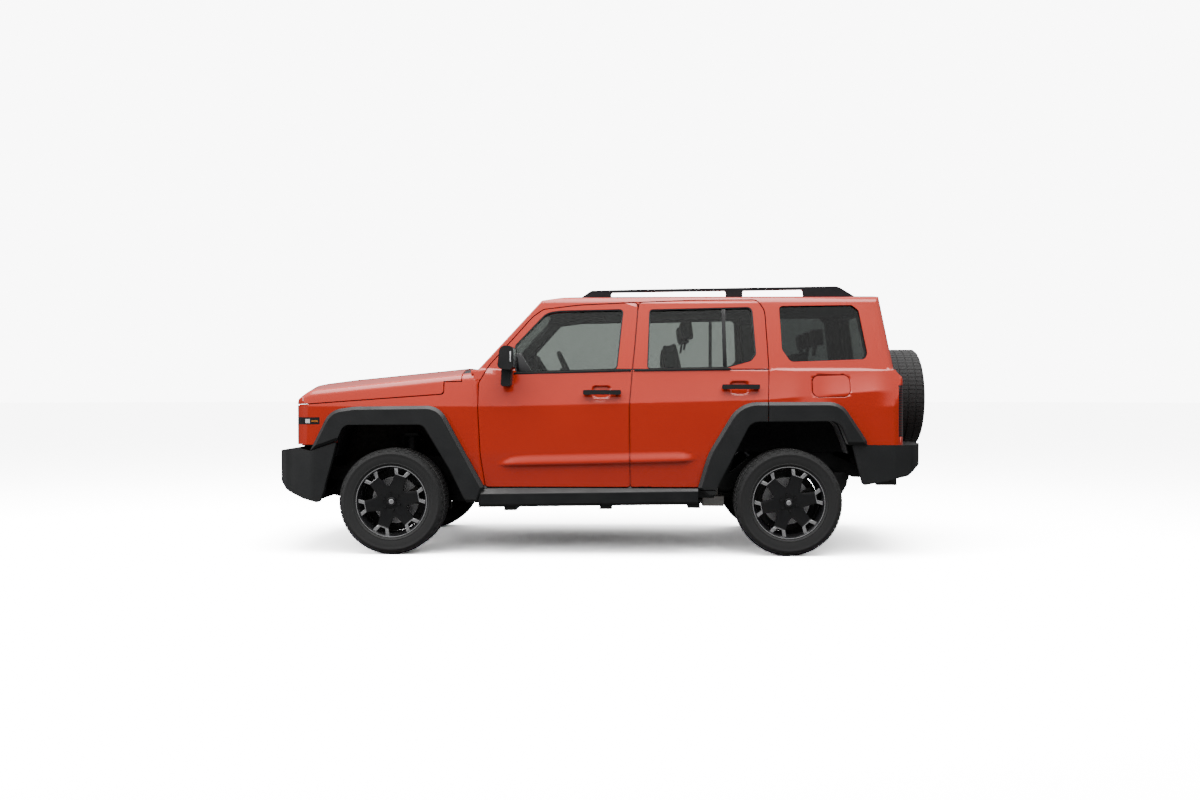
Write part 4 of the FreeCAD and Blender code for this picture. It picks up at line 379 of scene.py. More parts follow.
class WheelSettings(bpy.types.PropertyGroup):
    """Sizes of the tyre's tread and the wheel's face."""
    tread_depth: FloatProperty(name="Tread depth", description="Height of the tread blocks", unit="LENGTH",
                               min=0.002, max=0.015, default=0.009)
    tread_steps: IntProperty(name="Tread blocks", description="Blocks round each rib", min=24, max=120,
                             default=72)
    spokes: IntProperty(name="Spokes", description="Forked spokes on each wheel", min=3, max=12, default=6)
    spoke_turn: FloatProperty(name="Spoke turn", description="Turn of the first spoke from the horizontal",
                              subtype="ANGLE", default=math.radians(-11.0))


class StudioSettings(bpy.types.PropertyGroup):
    """Camera, lights and floor."""
    lens: FloatProperty(name="Lens", description="Focal length", subtype="DISTANCE_CAMERA", min=10.0,
                        max=200.0, default=34.53)
    sky: FloatProperty(name="Sky", description="Strength of the studio's surround", min=0.0, max=5.0,
                       default=1.0)
    soft_box: FloatProperty(name="Soft box", description="Power of the overhead light", subtype="POWER",
                            min=0.0, max=5000.0, default=900.0)
    glare: FloatProperty(name="Glare", description="How far the floor and backdrop are overexposed", min=1.0,
                         max=50.0, default=9.0)
    floor: colour_setting("Floor", "Floor paint", linear("#5C5C5C"))


# ---------------------------------------------------------------- studio
class OFFROAD_OT_studio(bpy.types.Operator):
    """Plain pale floor, soft lights and the camera"""
    bl_idname = "offroad.studio"
    bl_label = "Studio"

    def execute(self, context):
        settings = context.scene.offroad_studio
        self.floor(settings)
        self.surround(context.scene, settings)
        for name, spot, size, power in (
                ("soft_box_top", (0.0, -1.5, 6.5), (9.0, 6.0), settings.soft_box),
                ("soft_box_front", (-8.0, -4.0, 4.0), (4.0, 4.0), 0.25 * settings.soft_box)):
            lamp = bpy.data.lights.new(name, "AREA")
            lamp.shape = "RECTANGLE"
            lamp.size, lamp.size_y = size
            lamp.energy = power
            light = bpy.data.objects.new(name, lamp)
            light.location = spot
            light.rotation_euler = (Vector((0, 0, 0.6)) - Vector(spot)).to_track_quat("-Z", "Y").to_euler()
            context.scene.collection.objects.link(light)
        eye = bpy.data.cameras.new("studio_camera")
        eye.lens = settings.lens
        eye.sensor_width = 36.0
        eye.clip_end = 500.0
        camera = bpy.data.objects.new("studio_camera", eye)
        camera.location = (0.275, -8.857, 1.135)
        camera.rotation_euler = (math.pi / 2 - 0.0076, 0.0, 0.03439)
        context.scene.collection.objects.link(camera)
        context.scene.camera = camera
        return {"FINISHED"}

    def floor(self, settings):
        """A wide round floor that the eye sees overexposed, while the car is lit by its plain paint."""
        bm = bmesh.new()
        bmesh.ops.create_circle(bm, cap_ends=True, segments=96, radius=120.0)
        bmesh.ops.translate(bm, vec=(0, 0, -0.001), verts=bm.verts)
        material, tree, shader, _ = new_material("matt_floor_paint", {
            "Base Color": tuple(settings.floor), "Roughness": 0.9, "Specular IOR Level": 0.1})
        bright = add(tree, "BsdfDiffuse", {"Color": (settings.glare,) * 3 + (1.0,)})
        path = add(tree, "LightPath")
        mix = add(tree, "MixShader", {}, {
            0: path.outputs["Is Camera Ray"], 1: shader.outputs[0], 2: bright.outputs[0]})
        tree.links.new(mix.outputs[0], tree.nodes["Material Output"].inputs["Surface"])
        new_object("studio_floor", bm, [material])

    def surround(self, scene, settings):
        """White to the eye and through glass; to the paintwork, a bright ceiling over darker walls."""
        world = bpy.data.worlds.new("studio_surround")
        world.use_nodes = True
        scene.world = world
        tree = world.node_tree
        ground = tree.nodes["Background"]
        ground.inputs["Strength"].default_value = settings.sky
        place = add(tree, "TexCoord").outputs["Generated"]
        up = add(tree, "SeparateXYZ", {}, {"Vector": place}).outputs["Z"]
        ramp = add(tree, "ValToRGB", {}, {"Fac": up})
        stops = ramp.color_ramp.elements
        stops[0].position, stops[0].color = 0.0, (0.10, 0.10, 0.11, 1.0)
        stops[1].position, stops[1].color = 0.60, (1.0, 1.0, 1.0, 1.0)
        for height, grey in ((0.18, 0.12), (0.34, 0.55)):
            stops.new(height).color = (grey, grey, grey, 1.0)
        tree.links.new(ramp.outputs["Color"], ground.inputs["Color"])
        rays = add(tree, "LightPath").outputs
        white = (1.0, 1.0, 1.0, 1.0)
        through = add(tree, "Background", {"Color": white, "Strength": 1.35}).outputs[0]
        seen = add(tree, "Background", {"Color": white, "Strength": settings.glare}).outputs[0]
        clear = add(tree, "MixShader", {}, {
            0: rays["Is Transmission Ray"], 1: ground.outputs[0], 2: through})
        mix = add(tree, "MixShader", {}, {0: rays["Is Camera Ray"], 1: clear.outputs[0], 2: seen})
        tree.links.new(mix.outputs[0], tree.nodes["World Output"].inputs["Surface"])


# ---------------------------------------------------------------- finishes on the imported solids
def both(*names):
    """Each name with a left and a right in place of its star."""
    return tuple(name.replace("*", side) for name in names for side, _ in SIDES)


NODE_FINISHES = {
    "paint": both("front_door_*", "rear_door_*", "body_side_*") + (
        "roof", "fuel_flap", "bonnet", "front_wings", "tailgate", "rear_panel"),
    "glass": both("front_door_glass_*", "rear_door_glass_*") + ("fixed_glass", "tailgate_glass"),
    "moulding": both("front_door_fittings_*", "rear_door_fittings_*") + (
        "front_bumper", "rear_bumper", "arch_flares", "cowl"),
    "step": ("side_steps",),
    "satin": ("roof_rails", "tailgate_fittings"),
    "gloss": ("grille",),
    "frame": ("chassis_frame", "tow_points", "suspension_links", "coil_springs", "rear_axle"),
    "iron": both("knuckle_*") + ("powertrain", "driveline"),
    "exhaust": ("exhaust",),
    "carpet": ("floor_pan",),
    "dash": ("dashboard", "underguards", "fuel_tank"),
    "leather": ("steering_wheel",),
    "tail": ("tail_lamps",),
    "smoke": ("front_lamps",),
}


class OFFROAD_OT_finishes(bpy.types.Operator):
    """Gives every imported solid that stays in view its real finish"""
    bl_idname = "offroad.finishes"
    bl_label = "Finishes"

    def execute(self, context):
        for key, nodes in NODE_FINISHES.items():
            for node in nodes:
                NODES[node].data.materials.clear()
                NODES[node].data.materials.append(finish(key))
        return {"FINISHED"}


# ---------------------------------------------------------------- side panels with their pressed lines
CREASE_FOOT, BELT_Z = 1.030, 1.283
SHOULDER = [(-0.689, 1.029), (1.101, 1.074), (1.890, 1.136)]  # x, z of the crease along the side
# z, half width of the plain side
SKIN = [(0.440, 0.896), (0.700, 0.919), (CREASE_FOOT, 0.924), (BELT_Z, 0.868), (1.790, 0.742)]
TUMBLE = 0.2213  # lean of the side over the crease, per metre of height
SWAGE = [  # x, upper z, lower z of the pressing low on the doors
    (-0.710, 0.640, 0.618), (-0.600, 0.692, 0.606), (-0.483, 0.703, 0.606), (0.001, 0.714, 0.616),
    (0.553, 0.726, 0.632), (0.640, 0.706, 0.646), (0.668, 0.680, 0.662),
]
SWAGE_OUT, CUP_IN = 0.019, 0.017
CUPS = ((0.010, 1.129, 0.068, 0.047), (0.963, 1.157, 0.068, 0.050))  # x, z, half length, half height
PAINT_ENDS, PILLAR_PAINT_ENDS = 0.050, 0.014  # depth of paint on the shut faces
PANEL_KEYS = ("paint", "dash", "felt", "step", "seal")
PAINT, LINING, FELT, STEP, SEAL = range(5)


def along(rows, x):
    """Values of a table at x, with straight runs between its rows."""
    for (x0, *a), (x1, *b) in zip(rows, rows[1:]):
        if x0 <= x <= x1:
            return [p + (q - p) * (x - x0) / (x1 - x0) for p, q in zip(a, b)]
    return list(rows[0][1:] if x < rows[0][0] else rows[-1][1:])


def ease(t):
    """From 0 to 1 with flat ends."""
    t = min(max(t, 0.0), 1.0)
    return t * t * (3 - 2 * t)


def depth_in(spot):
    """How far a place lies in from the plain side."""
    return along(SKIN, spot.z)[0] - abs(spot.y)


def pressed(x, z, side):
    """How far the side stands out from its plain form: shoulder, swage and the cups behind the handles."""
    out = 0.0
    crease = along(SHOULDER, x)[0]
    if CREASE_FOOT < z < BELT_Z and crease > CREASE_FOOT:
        up = max((z - crease) / (BELT_Z - crease), 0.0)
        rise = (min(z, crease) - CREASE_FOOT) * TUMBLE * (1.0 - up) ** 1.6
        # shallower on the left, where the fuel flap's front edge swings
        dip = 0.85 * ease((0.16 - abs(x - 1.466)) / 0.115) if side < 0 else 0.0
        out += rise * ease((2.02 - x) / 0.16) * (1.0 - dip)
    if SWAGE[0][0] < x < SWAGE[-1][0]:
        top, low = along(SWAGE, x)
        down = (top - z) / (top - low)
        if 0.0 < down < 1.0:
            ends = ease(min(x - SWAGE[0][0], SWAGE[-1][0] - x) / 0.10)
            out += SWAGE_OUT * ends * (ease(down / 0.74) if down < 0.74 else ease((1.0 - down) / 0.26))
    for mid_x, mid_z, half_x, half_z in CUPS:
        reach = ((x - mid_x) / half_x) ** 4 + ((z - mid_z) / half_z) ** 4
        if reach < 1.0:
            out -= CUP_IN * ease((1.0 - reach) / 0.6)
    return out


def pressing_planes(low_x, high_x, cups):
    """Where a side panel is cut so that its pressed lines have corners to move."""
    planes = across("z", (CREASE_FOOT, BELT_Z, 1.300))
    for (x0, z0), (x1, z1) in zip(SHOULDER, SHOULDER[1:]):
        slope = (z1 - z0) / (x1 - x0)
        planes += [((x0, 0, z0 + d), (-slope, 0, 1)) for d in (-0.007, 0.0, 0.007)]
    planes += across("x", [1.05 + 0.04 * i for i in range(26)])
    planes += across("z", (1.09, 1.12, 1.15, 1.18, 1.21, 1.245))
    if cups:
        planes += across("z", [0.600 + 0.008 * i for i in range(17)])
        planes += across("x", [-0.72 + 0.035 * i for i in range(50)])
        for mid_x, mid_z, half_x, half_z in CUPS:
            planes += across("x", [mid_x + half_x * t / 8.0 for t in range(-8, 9)])
            planes += across("z", [mid_z + half_z * t / 7.0 for t in range(-7, 8)])
    return [(spot, normal) for spot, normal in planes
            if normal != (1.0, 0.0, 0.0) or low_x < spot[0] < high_x]


def pressed_panel(node, body, side, cups):
    """A copy of a side panel, cut finely where its pressed lines run and moved out by them."""
    bm = plain_copy(node)
    if node == "body_side_right":
        close_recess(bm)
        bm.normal_update()
    skin = [f for f in bm.faces if f.normal.y * side > 0.5 and abs(depth_in(f.calc_center_median())) < 0.012
            and f.calc_center_median().z < 1.60]
    low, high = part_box(node)
    cut(bm, pressing_planes(low.x, high.x, cups), skin)
    triangulate(bm)
    for v in bm.verts:
        x, _, z = v.co
        if -0.006 < depth_in(v.co) < 0.046 and z < BELT_Z:
            v.co.y += side * pressed(x, z, side)
    if node.startswith("body_side"):
        round_rear_corner(bm)
    paint_line(bm, side)
    dress(node, bm, body, lambda f: side_finish(f, side))


def close_recess(bm):
    """Only the left side has a filler: the right side's skin runs on where the left has its recess."""
    def in_recess(f):
        spot = f.calc_center_median()
        return 1.450 < spot.x < 1.732 and 1.080 < spot.z < 1.262 and 0.001 < depth_in(spot) < 0.0365

    bmesh.ops.delete(bm, geom=[f for f in bm.faces if in_recess(f)], context="FACES")
    bmesh.ops.holes_fill(bm, edges=[e for e in bm.edges if len(e.link_faces) == 1], sides=0)
    bmesh.ops.delete(bm, geom=[v for v in bm.verts if not v.link_faces], context="VERTS")
    bmesh.ops.recalc_face_normals(bm, faces=bm.faces)


def round_rear_corner(bm):
    """Draws the ledge under the rear pillar into a hollow curve that runs down to the lamps."""
    foot, height, back, draw = 1.19, 0.10, 2.106, 0.072
    cut(bm, across("z", (1.20, 1.22, 1.24, 1.26, 1.272)))
    for v in bm.verts:
        if v.co.x > back - draw and foot < v.co.z < 1.30:
            v.co.x = min(v.co.x, back - draw * ease((v.co.z - foot) / height))
    bmesh.ops.dissolve_degenerate(bm, edges=bm.edges, dist=1e-5)
    triangulate(bm)


def paint_line(bm, side):
    """Cuts the shut faces where their paint ends, parallel to the outer skin."""
    cut(bm, across("z", [z for z, _ in SKIN[1:-1]]))
    for (z0, w0), (z1, w1) in zip(SKIN, SKIN[1:]):
        faces = [f for f in bm.faces if z0 < f.calc_center_median().z < z1 and abs(f.normal.y) <= 0.25]
        end = PAINT_ENDS if z0 < BELT_Z else PILLAR_PAINT_ENDS
        cut(bm, [((0, side * (w0 - end), z0), (0, side, (w0 - w1) / (z1 - z0)))], faces)
    triangulate(bm)


def side_finish(f, side):
    """Outer and shut faces are painted; arch, sill underside and what faces the cabin are not."""
    spot = f.calc_center_median()
    out = f.normal.y * side
    depth = depth_in(spot)
    away = Vector((spot.x - REAR_AXLE_X, 0.0, spot.z - AXLE_Z))
    in_arch = away.length < 0.80 and away.dot(f.normal) < -0.2 * away.length and spot.z < 0.99
    if abs(out) < 0.5 and in_arch:
        return FELT
    if spot.z < 0.476 or f.normal.z < -0.7 and spot.z < 0.50:
        return STEP
    outer = out > 0.25 and depth < 0.06
    rear_face = f.normal.x > 0.3 and spot.x > 1.955 and abs(spot.y) > 0.70
    screen_pillar = f.normal.x < -0.2 and f.normal.z > 0.1 and spot.x < -0.3 and spot.z > 1.24
    shut_face = abs(out) <= 0.25 and depth < (PILLAR_PAINT_ENDS if spot.z > BELT_Z else PAINT_ENDS)
    return PAINT if outer or rear_face or screen_pillar or shut_face else LINING


def dress(node, bm, body, choose):
    """Gives each face of a panel the finish that is chosen for it and puts the panel in its node's place."""
    bm.normal_update()
    for f in bm.faces:
        f.material_index = choose(f)
    piece("dressed_" + node, bm, PANEL_KEYS, body, node, 24.0)


def roof_finish(f):
    """Painted outside, lined underneath, with seals along the glass."""
    spot = f.calc_center_median()
    if f.normal.z < -0.3:
        return LINING
    return SEAL if abs(f.normal.z) < 0.3 and abs(spot.y) < 0.60 and spot.x < 1.9 else PAINT


def gate_finish(f):
    """Painted outside, lined inside, with a seal round the glass."""
    spot = f.calc_center_median()
    if f.normal.x < -0.3:
        return LINING
    return SEAL if abs(f.normal.x) < 0.3 and abs(spot.y) < 0.62 and spot.z > 1.31 else PAINT


class OFFROAD_OT_panels(bpy.types.Operator):
    """Doors and body sides with their shoulder crease, door swage and handle cups, and the ridged bonnet"""
    bl_idname = "offroad.panels"
    bl_label = "Pressed panels"

    def execute(self, context):
        for side, s in SIDES:
            pressed_panel(f"front_door_{side}", f"front_door_{side}_body", s, True)
            pressed_panel(f"rear_door_{side}", f"rear_door_{side}_body", s, True)
            pressed_panel(f"body_side_{side}", "vehicle", s, False)
        pressed_panel("fuel_flap", "fuel_flap_body", -1.0, False)
        self.bonnet()
        dress("roof", plain_copy("roof"), "vehicle", roof_finish)
        gate = plain_copy("tailgate")
        round_rear_corner(gate)
        dress("tailgate", gate, "tailgate_body", gate_finish)
        self.rear_bumper()
        self.panes()
        return {"FINISHED"}

    def rear_bumper(self):
        """The bumper's underside climbs towards the back."""
        bm = plain_copy("rear_bumper")
        low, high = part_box("rear_bumper")
        cut(bm, across("x", (1.90, 1.98, 2.05, 2.11, 2.15, 2.19, 2.23)))
        climb = [(1.70, 0.0), (1.82, 0.002), (2.11, 0.058), (2.17, 0.105), (2.27, 0.130)]  # x, rise
        for v in bm.verts:
            v.co.z += (high.z - v.co.z) / (high.z - low.z) * along(climb, v.co.x)[0]
        triangulate(bm)
        piece("dressed_rear_bumper", bm, ["moulding"], "vehicle", "rear_bumper", 24.0)

    def panes(self):
        """Windscreen in light tint, quarter windows in privacy glass."""
        bm = plain_copy("fixed_glass")
        paint_over([f for f in bm.faces if f.calc_center_median().x > 1.0], 1)
        piece("dressed_fixed_glass", bm, ["glass", "privacy"], "vehicle", "fixed_glass", 24.0)

    def bonnet(self):
        """Raised middle with a ridge on each side that fades out at the nose, and a folded front edge."""
        bm = plain_copy("bonnet")
        edges = [0.40 + 0.01 * i for i in range(6)] + [0.66 + 0.01 * i for i in range(5)]
        cut(bm, across("y", [-y for y in edges] + edges)
            + across("x", [-2.125 + 0.015 * i for i in range(9)] + [-1.98 + 0.05 * i for i in range(20)]))
        triangulate(bm)
        for v in bm.verts:
            foot = 1.031 + (v.co.x + 2.300) * 0.0727
            if v.co.x < -2.005 and v.co.z > foot:
                round_over = math.sin(math.pi / 2 * (v.co.x + 2.135) / 0.13)
                v.co.z = foot + (v.co.z - foot) * (0.16 + 0.84 * round_over)
        bm.normal_update()
        for v in [v for v in bm.verts if v.normal.z > 0.55]:
            middle_part = ease((0.455 - abs(v.co.y)) / 0.055)
            shoulder = 0.6 * ease((0.705 - abs(v.co.y)) / 0.045)
            v.co.z += 0.008 * (0.4 * middle_part + shoulder) * ease((v.co.x + 2.09) / 0.30)
        piece("dressed_bonnet", bm, ["paint"], "bonnet_body", "bonnet", 24.0)


# ---------------------------------------------------------------- wheels
WHEELS = [  # tyre node, rim node, body, turn about Z in degrees: a wheel is made facing +Y
    ("tyre_front_left", "rim_front_left", "wheel_front_left", 180.0),
    ("tyre_front_right", "rim_front_right", "wheel_front_right", 0.0),
    ("tyre_rear_left", "rim_rear_left", "wheel_rear_left", 180.0),
    ("tyre_rear_right", "rim_rear_right", "wheel_rear_right", 0.0),
    ("spare_tyre", "spare_rim", "tailgate_body", -90.0),
]
SIDEWALL = [  # radius, width from the centre plane, of one side from bead to tread edge
    (0.2362, 0.094), (0.2372, 0.101), (0.25, 0.102), (0.252, 0.11), (0.256, 0.1155), (0.264, 0.1195),
    (0.2655, 0.1215), (0.269, 0.1215), (0.271, 0.1205), (0.29, 0.1245), (0.31, 0.1265), (0.323, 0.1268),
    (0.3245, 0.1275), (0.333, 0.1272), (0.3345, 0.1255), (0.342, 0.1225), (0.35, 0.117), (0.356, 0.11),
    (0.359, 0.102),
]
RIBS = (0.1020, 0.0600, 0.0520, 0.0060)  # outer and inner width of the outer rib, and of the inner rib


def wheel_seat(tyre_node, turn):
    """Puts a wheel that was made at the origin in its tyre's place."""
    low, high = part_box(tyre_node)
    return Matrix.Translation((low + high) / 2) @ Matrix.Rotation(math.radians(turn), 4, "Z")


class OFFROAD_OT_tyres(bpy.types.Operator):
    """Road tyres with blocked ribs, shoulder lugs and stepped sidewalls"""
    bl_idname = "offroad.tyres"
    bl_label = "Tyres"

    def execute(self, context):
        settings = context.scene.offroad_wheels
        base = TYRE_RADIUS - settings.tread_depth
        tread = [(base, w) for w in RIBS[1:]] + [(base, -w) for w in reversed(RIBS)]
        rows = SIDEWALL + tread + [(r, -w) for r, w in reversed(SIDEWALL[:-1])]
        for tyre_node, _, body, turn in WHEELS:
            bm = bmesh.new()
            revolve(bm, rows, settings.tread_steps)
            tidy(bm)
            blocks, lugs = self.raised(bm, base, settings.tread_steps)
            height = settings.tread_depth - 0.0003
            bmesh.ops.inset_individual(bm, faces=blocks, thickness=0.0022, depth=height)
            bmesh.ops.inset_individual(bm, faces=lugs, thickness=0.0012, depth=0.0035)
            bmesh.ops.transform(bm, matrix=wheel_seat(tyre_node, turn), verts=bm.verts)
            piece("dressed_" + tyre_node, bm, ["rubber"], body, tyre_node, 28.0)
        return {"FINISHED"}

    def raised(self, bm, base, steps):
        """Faces of the ribs' blocks, and every second face of the shoulder."""
        outer, outer_foot, inner, inner_foot = RIBS
        blocks, lugs = [], []
        for f in bm.faces:
            spot = f.calc_center_median()
            reach, width = math.hypot(spot.x, spot.z), abs(spot.y)
            on_rib = outer_foot < width < outer - 0.0005 or inner_foot < width < inner
            if reach > base - 0.003 and on_rib:
                blocks.append(f)
            elif 0.3500 < reach < 0.3590 and width > 0.103:
                if round(math.atan2(spot.z, spot.x) / math.tau * steps - 0.5) % 2:
                    lugs.append(f)
        return blocks, lugs


# radius, half width of the dark spoke and of the bright fork at its end
HALF_SPOKE = [(0.058, 0.0), (0.188, 0.0), (0.188, 0.040), (0.150, 0.0425), (0.112, 0.046), (0.0920, 0.0531),
              (0.0502, 0.0290)]
HALF_FORK = [(0.188, 0.0), (0.193, 0.0), (0.193, 0.0175), (0.231, 0.0345), (0.2300, 0.0620), (0.188, 0.040)]
# the profiles below are rows of radius, width
BARREL = [(0.233, 0.1), (0.239, 0.108), (0.242, 0.1125), (0.2435, 0.1132), (0.249, 0.1132), (0.25, 0.112),
          (0.25, 0.1045), (0.237, 0.101), (0.2357, 0.096), (0.2357, -0.098), (0.25, -0.1045), (0.25, -0.111),
          (0.23, -0.11), (0.22, -0.07), (0.218, 0.03), (0.226, 0.075)]
HUB = [(0.0, 0.094), (0.052, 0.094), (0.074, 0.097), (0.080, 0.094), (0.080, 0.0), (0.0, 0.0)]
CAP = [(0.0, 0.1125), (0.024, 0.1120), (0.030, 0.1095), (0.032, 0.104), (0.032, 0.090), (0.0, 0.090)]
CAP_DISC = [(0.0, 0.1145), (0.014, 0.1142), (0.017, 0.1130), (0.017, 0.1110), (0.0, 0.1110)]
VENTED_DISC = [(0.072, -0.028), (0.105, -0.028), (0.108, -0.0315), (0.165, -0.0315), (0.166, -0.033),
               (0.166, -0.038), (0.160, -0.039), (0.160, -0.045), (0.166, -0.046), (0.166, -0.054),
               (0.165, -0.056), (0.072, -0.056)]
# a dust shield whose lip widens it into a black cup that stands in for the shade inside the wheel
DUST_SHIELD_AND_SHADE_CUP = [(0.060, -0.068), (0.150, -0.068), (0.158, -0.072), (0.2125, -0.072), (0.2125, -0.022),
               (0.2145, -0.022), (0.2145, -0.074), (0.060, -0.074)]
WHEEL_KEYS = ("wheel_black", "turned", "gloss")
BLACK, BRIGHT, GLOSS = range(3)
NUTS = 6


class OFFROAD_OT_alloys(bpy.types.Operator):
    """Forked-spoke alloy wheels with turned forks and lip, hub cap, nuts and valve"""
    bl_idname = "offroad.alloys"
    bl_label = "Alloy wheels"

    def execute(self, context):
        settings = context.scene.offroad_wheels
        for tyre_node, rim_node, body, turn in WHEELS:
            bm = self.face(settings)
            for f in revolve(bm, BARREL, 96):
                spot = f.calc_center_median()
                if spot.y > 0.1126 and math.hypot(spot.x, spot.z) > 0.243:
                    f.material_index = BRIGHT
            self.hub(bm, settings)
            seat = wheel_seat(tyre_node, turn)
            placed("dressed_" + rim_node, bm, WHEEL_KEYS, body, rim_node, seat, 30.0)
            if rim_node != "spare_rim":
                still = "vehicle" if "rear" in rim_node else rim_node.replace("rim_front", "steering_knuckle")
                self.brake(rim_node, "brake_disc", VENTED_DISC, "disc", seat, body, "cast")
                # the shield's black cup is painted shade behind the spokes
                self.brake(rim_node, "dust_shield", DUST_SHIELD_AND_SHADE_CUP, "frame", seat, still, "under")
        return {"FINISHED"}

    def face(self, settings):
        """Spokes: one half is outlined, mirrored, spun round, given its thickness and rounded."""
        bm = bmesh.new()
        for index, rows in enumerate((HALF_SPOKE, HALF_FORK)):
            bm.faces.new([bm.verts.new((a, 0.0, b)) for a, b in rows]).material_index = index
        bmesh.ops.mirror(bm, geom=bm.verts[:] + bm.edges[:] + bm.faces[:], merge_dist=1e-5, axis="Z")
        share = math.tau / settings.spokes
        bmesh.ops.spin(bm, geom=bm.verts[:] + bm.edges[:] + bm.faces[:], axis=(0, 1, 0),
                       angle=math.tau - share, steps=settings.spokes - 1, use_duplicate=True)
        bmesh.ops.remove_doubles(bm, verts=bm.verts, dist=1e-4)
        bmesh.ops.recalc_face_normals(bm, faces=bm.faces)
        if bm.faces[:][0].normal.y < 0:
            bmesh.ops.reverse_faces(bm, faces=bm.faces)
        dark = [f for f in bm.faces if f.material_index == BLACK]
        bmesh.ops.inset_region(bm, faces=dark, thickness=0.0045, depth=-0.003, use_even_offset=True)
        bmesh.ops.solidify(bm, geom=bm.faces[:], thickness=0.030)
        bmesh.ops.recalc_face_normals(bm, faces=bm.faces)
        top = max(v.co.y for v in bm.verts)
        bmesh.ops.translate(bm, vec=(0, 0.100 - top, 0), verts=bm.verts)
        sharp = [e for e in bm.edges if len(e.link_faces) == 2 and e.calc_face_angle() > 0.6]
        bmesh.ops.bevel(bm, geom=sharp, offset=0.0012, segments=2, profile=0.5, affect="EDGES", material=-1)
        bmesh.ops.transform(bm, matrix=Matrix.Rotation(-settings.spoke_turn, 4, "Y"), verts=bm.verts)
        return bm

    def hub(self, bm, settings):
        """Hub dome with a bare cap, nuts in their wells, and the valve."""
        revolve(bm, HUB, 48, False)
        revolve(bm, CAP, 48, False, GLOSS)
        revolve(bm, CAP_DISC, 32, False, BRIGHT)
        share = math.tau / settings.spokes
        upright = Matrix.Rotation(-math.pi / 2, 4, "X")
        for i in range(NUTS):
            turn = Matrix.Rotation(share * (i + 0.5) - settings.spoke_turn, 4, "Y")
            well = Matrix.Translation((0.056, 0.101, 0.0))
            cone(bm, 6, 0.0115, 0.0095, 0.018, turn @ well @ upright, GLOSS)
        turn = Matrix.Rotation(share * 0.62 - settings.spoke_turn, 4, "Y")
        cone(bm, 10, 0.0045, 0.0035, 0.040, turn @ Matrix.Translation((0.205, 0.086, 0.0)) @ upright)

    def brake(self, rim_node, name, profile, key, seat, body, slot):
        """Vented disc that turns with the wheel, or the shield behind it that doesn't; the shield's lip makes
        it a black cup of painted shade behind the spokes.
        """
        bm = bmesh.new()
        revolve(bm, profile, 64)
        placed(rim_node.replace("rim", name), bm, [key], body, None, seat, 30.0)


# ---------------------------------------------------------------- seals and shields
# painted shade: black aprons stand in for the shadowed underbody seen past the wheels
SHADE_APRONS = [  # outlines in x, z: ahead of and behind the front wheel, and ahead of the rear bumper
    [(-2.000, 0.400), (-1.690, 0.400), (-1.640, 0.560), (-2.020, 0.600)],
    [(-1.220, 0.400), (-1.140, 0.325), (-0.800, 0.325), (-0.740, 0.520), (-1.260, 0.560)],
    [(1.600, 0.510), (1.800, 0.490), (1.820, 0.660), (1.580, 0.660)],
]
# painted shade: a black bracket stands in for the shadowed underbody behind each rear wheel
SHADE_BRACKET = [(1.672, 0.402), (1.702, 0.398), (1.742, 0.470), (1.760, 0.560), (1.650, 0.560)]
BONNET_EDGE = [(-2.085, 1.012), (-1.100, 1.083), (-1.100, 1.114), (-2.085, 1.0435)]
BELT_STRIPS = (
    ("front_door", [(-0.602, 1.250), (0.216, 1.273), (0.217, 1.288), (-0.600, 1.266)]),
    ("rear_door", [(0.236, 1.273), (0.905, 1.283), (0.905, 1.297), (0.237, 1.288)]))
LEANING_TRIM = (
    ("division_bar", "rear_door", [(0.854, 1.280), (0.881, 1.280), (0.873, 1.716), (0.849, 1.716)]),
    ("sail_panel", "front_door", [(-0.600, 1.262), (-0.470, 1.266), (-0.556, 1.400), (-0.604, 1.400)]))
LEAN = 0.2485  # how far the greenhouse leans in, per metre of height


class OFFROAD_OT_shields(bpy.types.Operator):
    """Seals under the bonnet edge, and black sheets of painted shade where the underbody lies in shadow:
    aprons beside the engine and brackets behind the rear wheels
    """
    bl_idname = "offroad.shields"
    bl_label = "Seals and splash shields"

    def execute(self, context):
        for side, s in SIDES:
            strip = slab(bmesh.new(), BONNET_EDGE, s * 0.80, s * 0.83, 0.002)
            placed(f"bonnet_side_seal_{side}", strip, ["seal"], "vehicle")
            # black aprons of painted shade where the underbody lies in shadow
            bm = bmesh.new()
            for rows in SHADE_APRONS:
                slab(bm, rows, s * 0.395, s * 0.405, 0.002)
            placed(f"splash_apron_{side}", bm, ["step"], "vehicle")
            # black bracket of painted shade behind the rear wheel
            bracket = slab(bmesh.new(), SHADE_BRACKET, s * 0.585, s * 0.655, 0.004)
            placed(f"rear_bracket_{side}", bracket, ["frame"], "vehicle")
        strip = block(bmesh.new(), (-2.118, -0.826, 1.015), (-2.086, 0.826, 1.0425), 0.003)
        placed("bonnet_front_seal", strip, ["seal"], "vehicle")
        return {"FINISHED"}


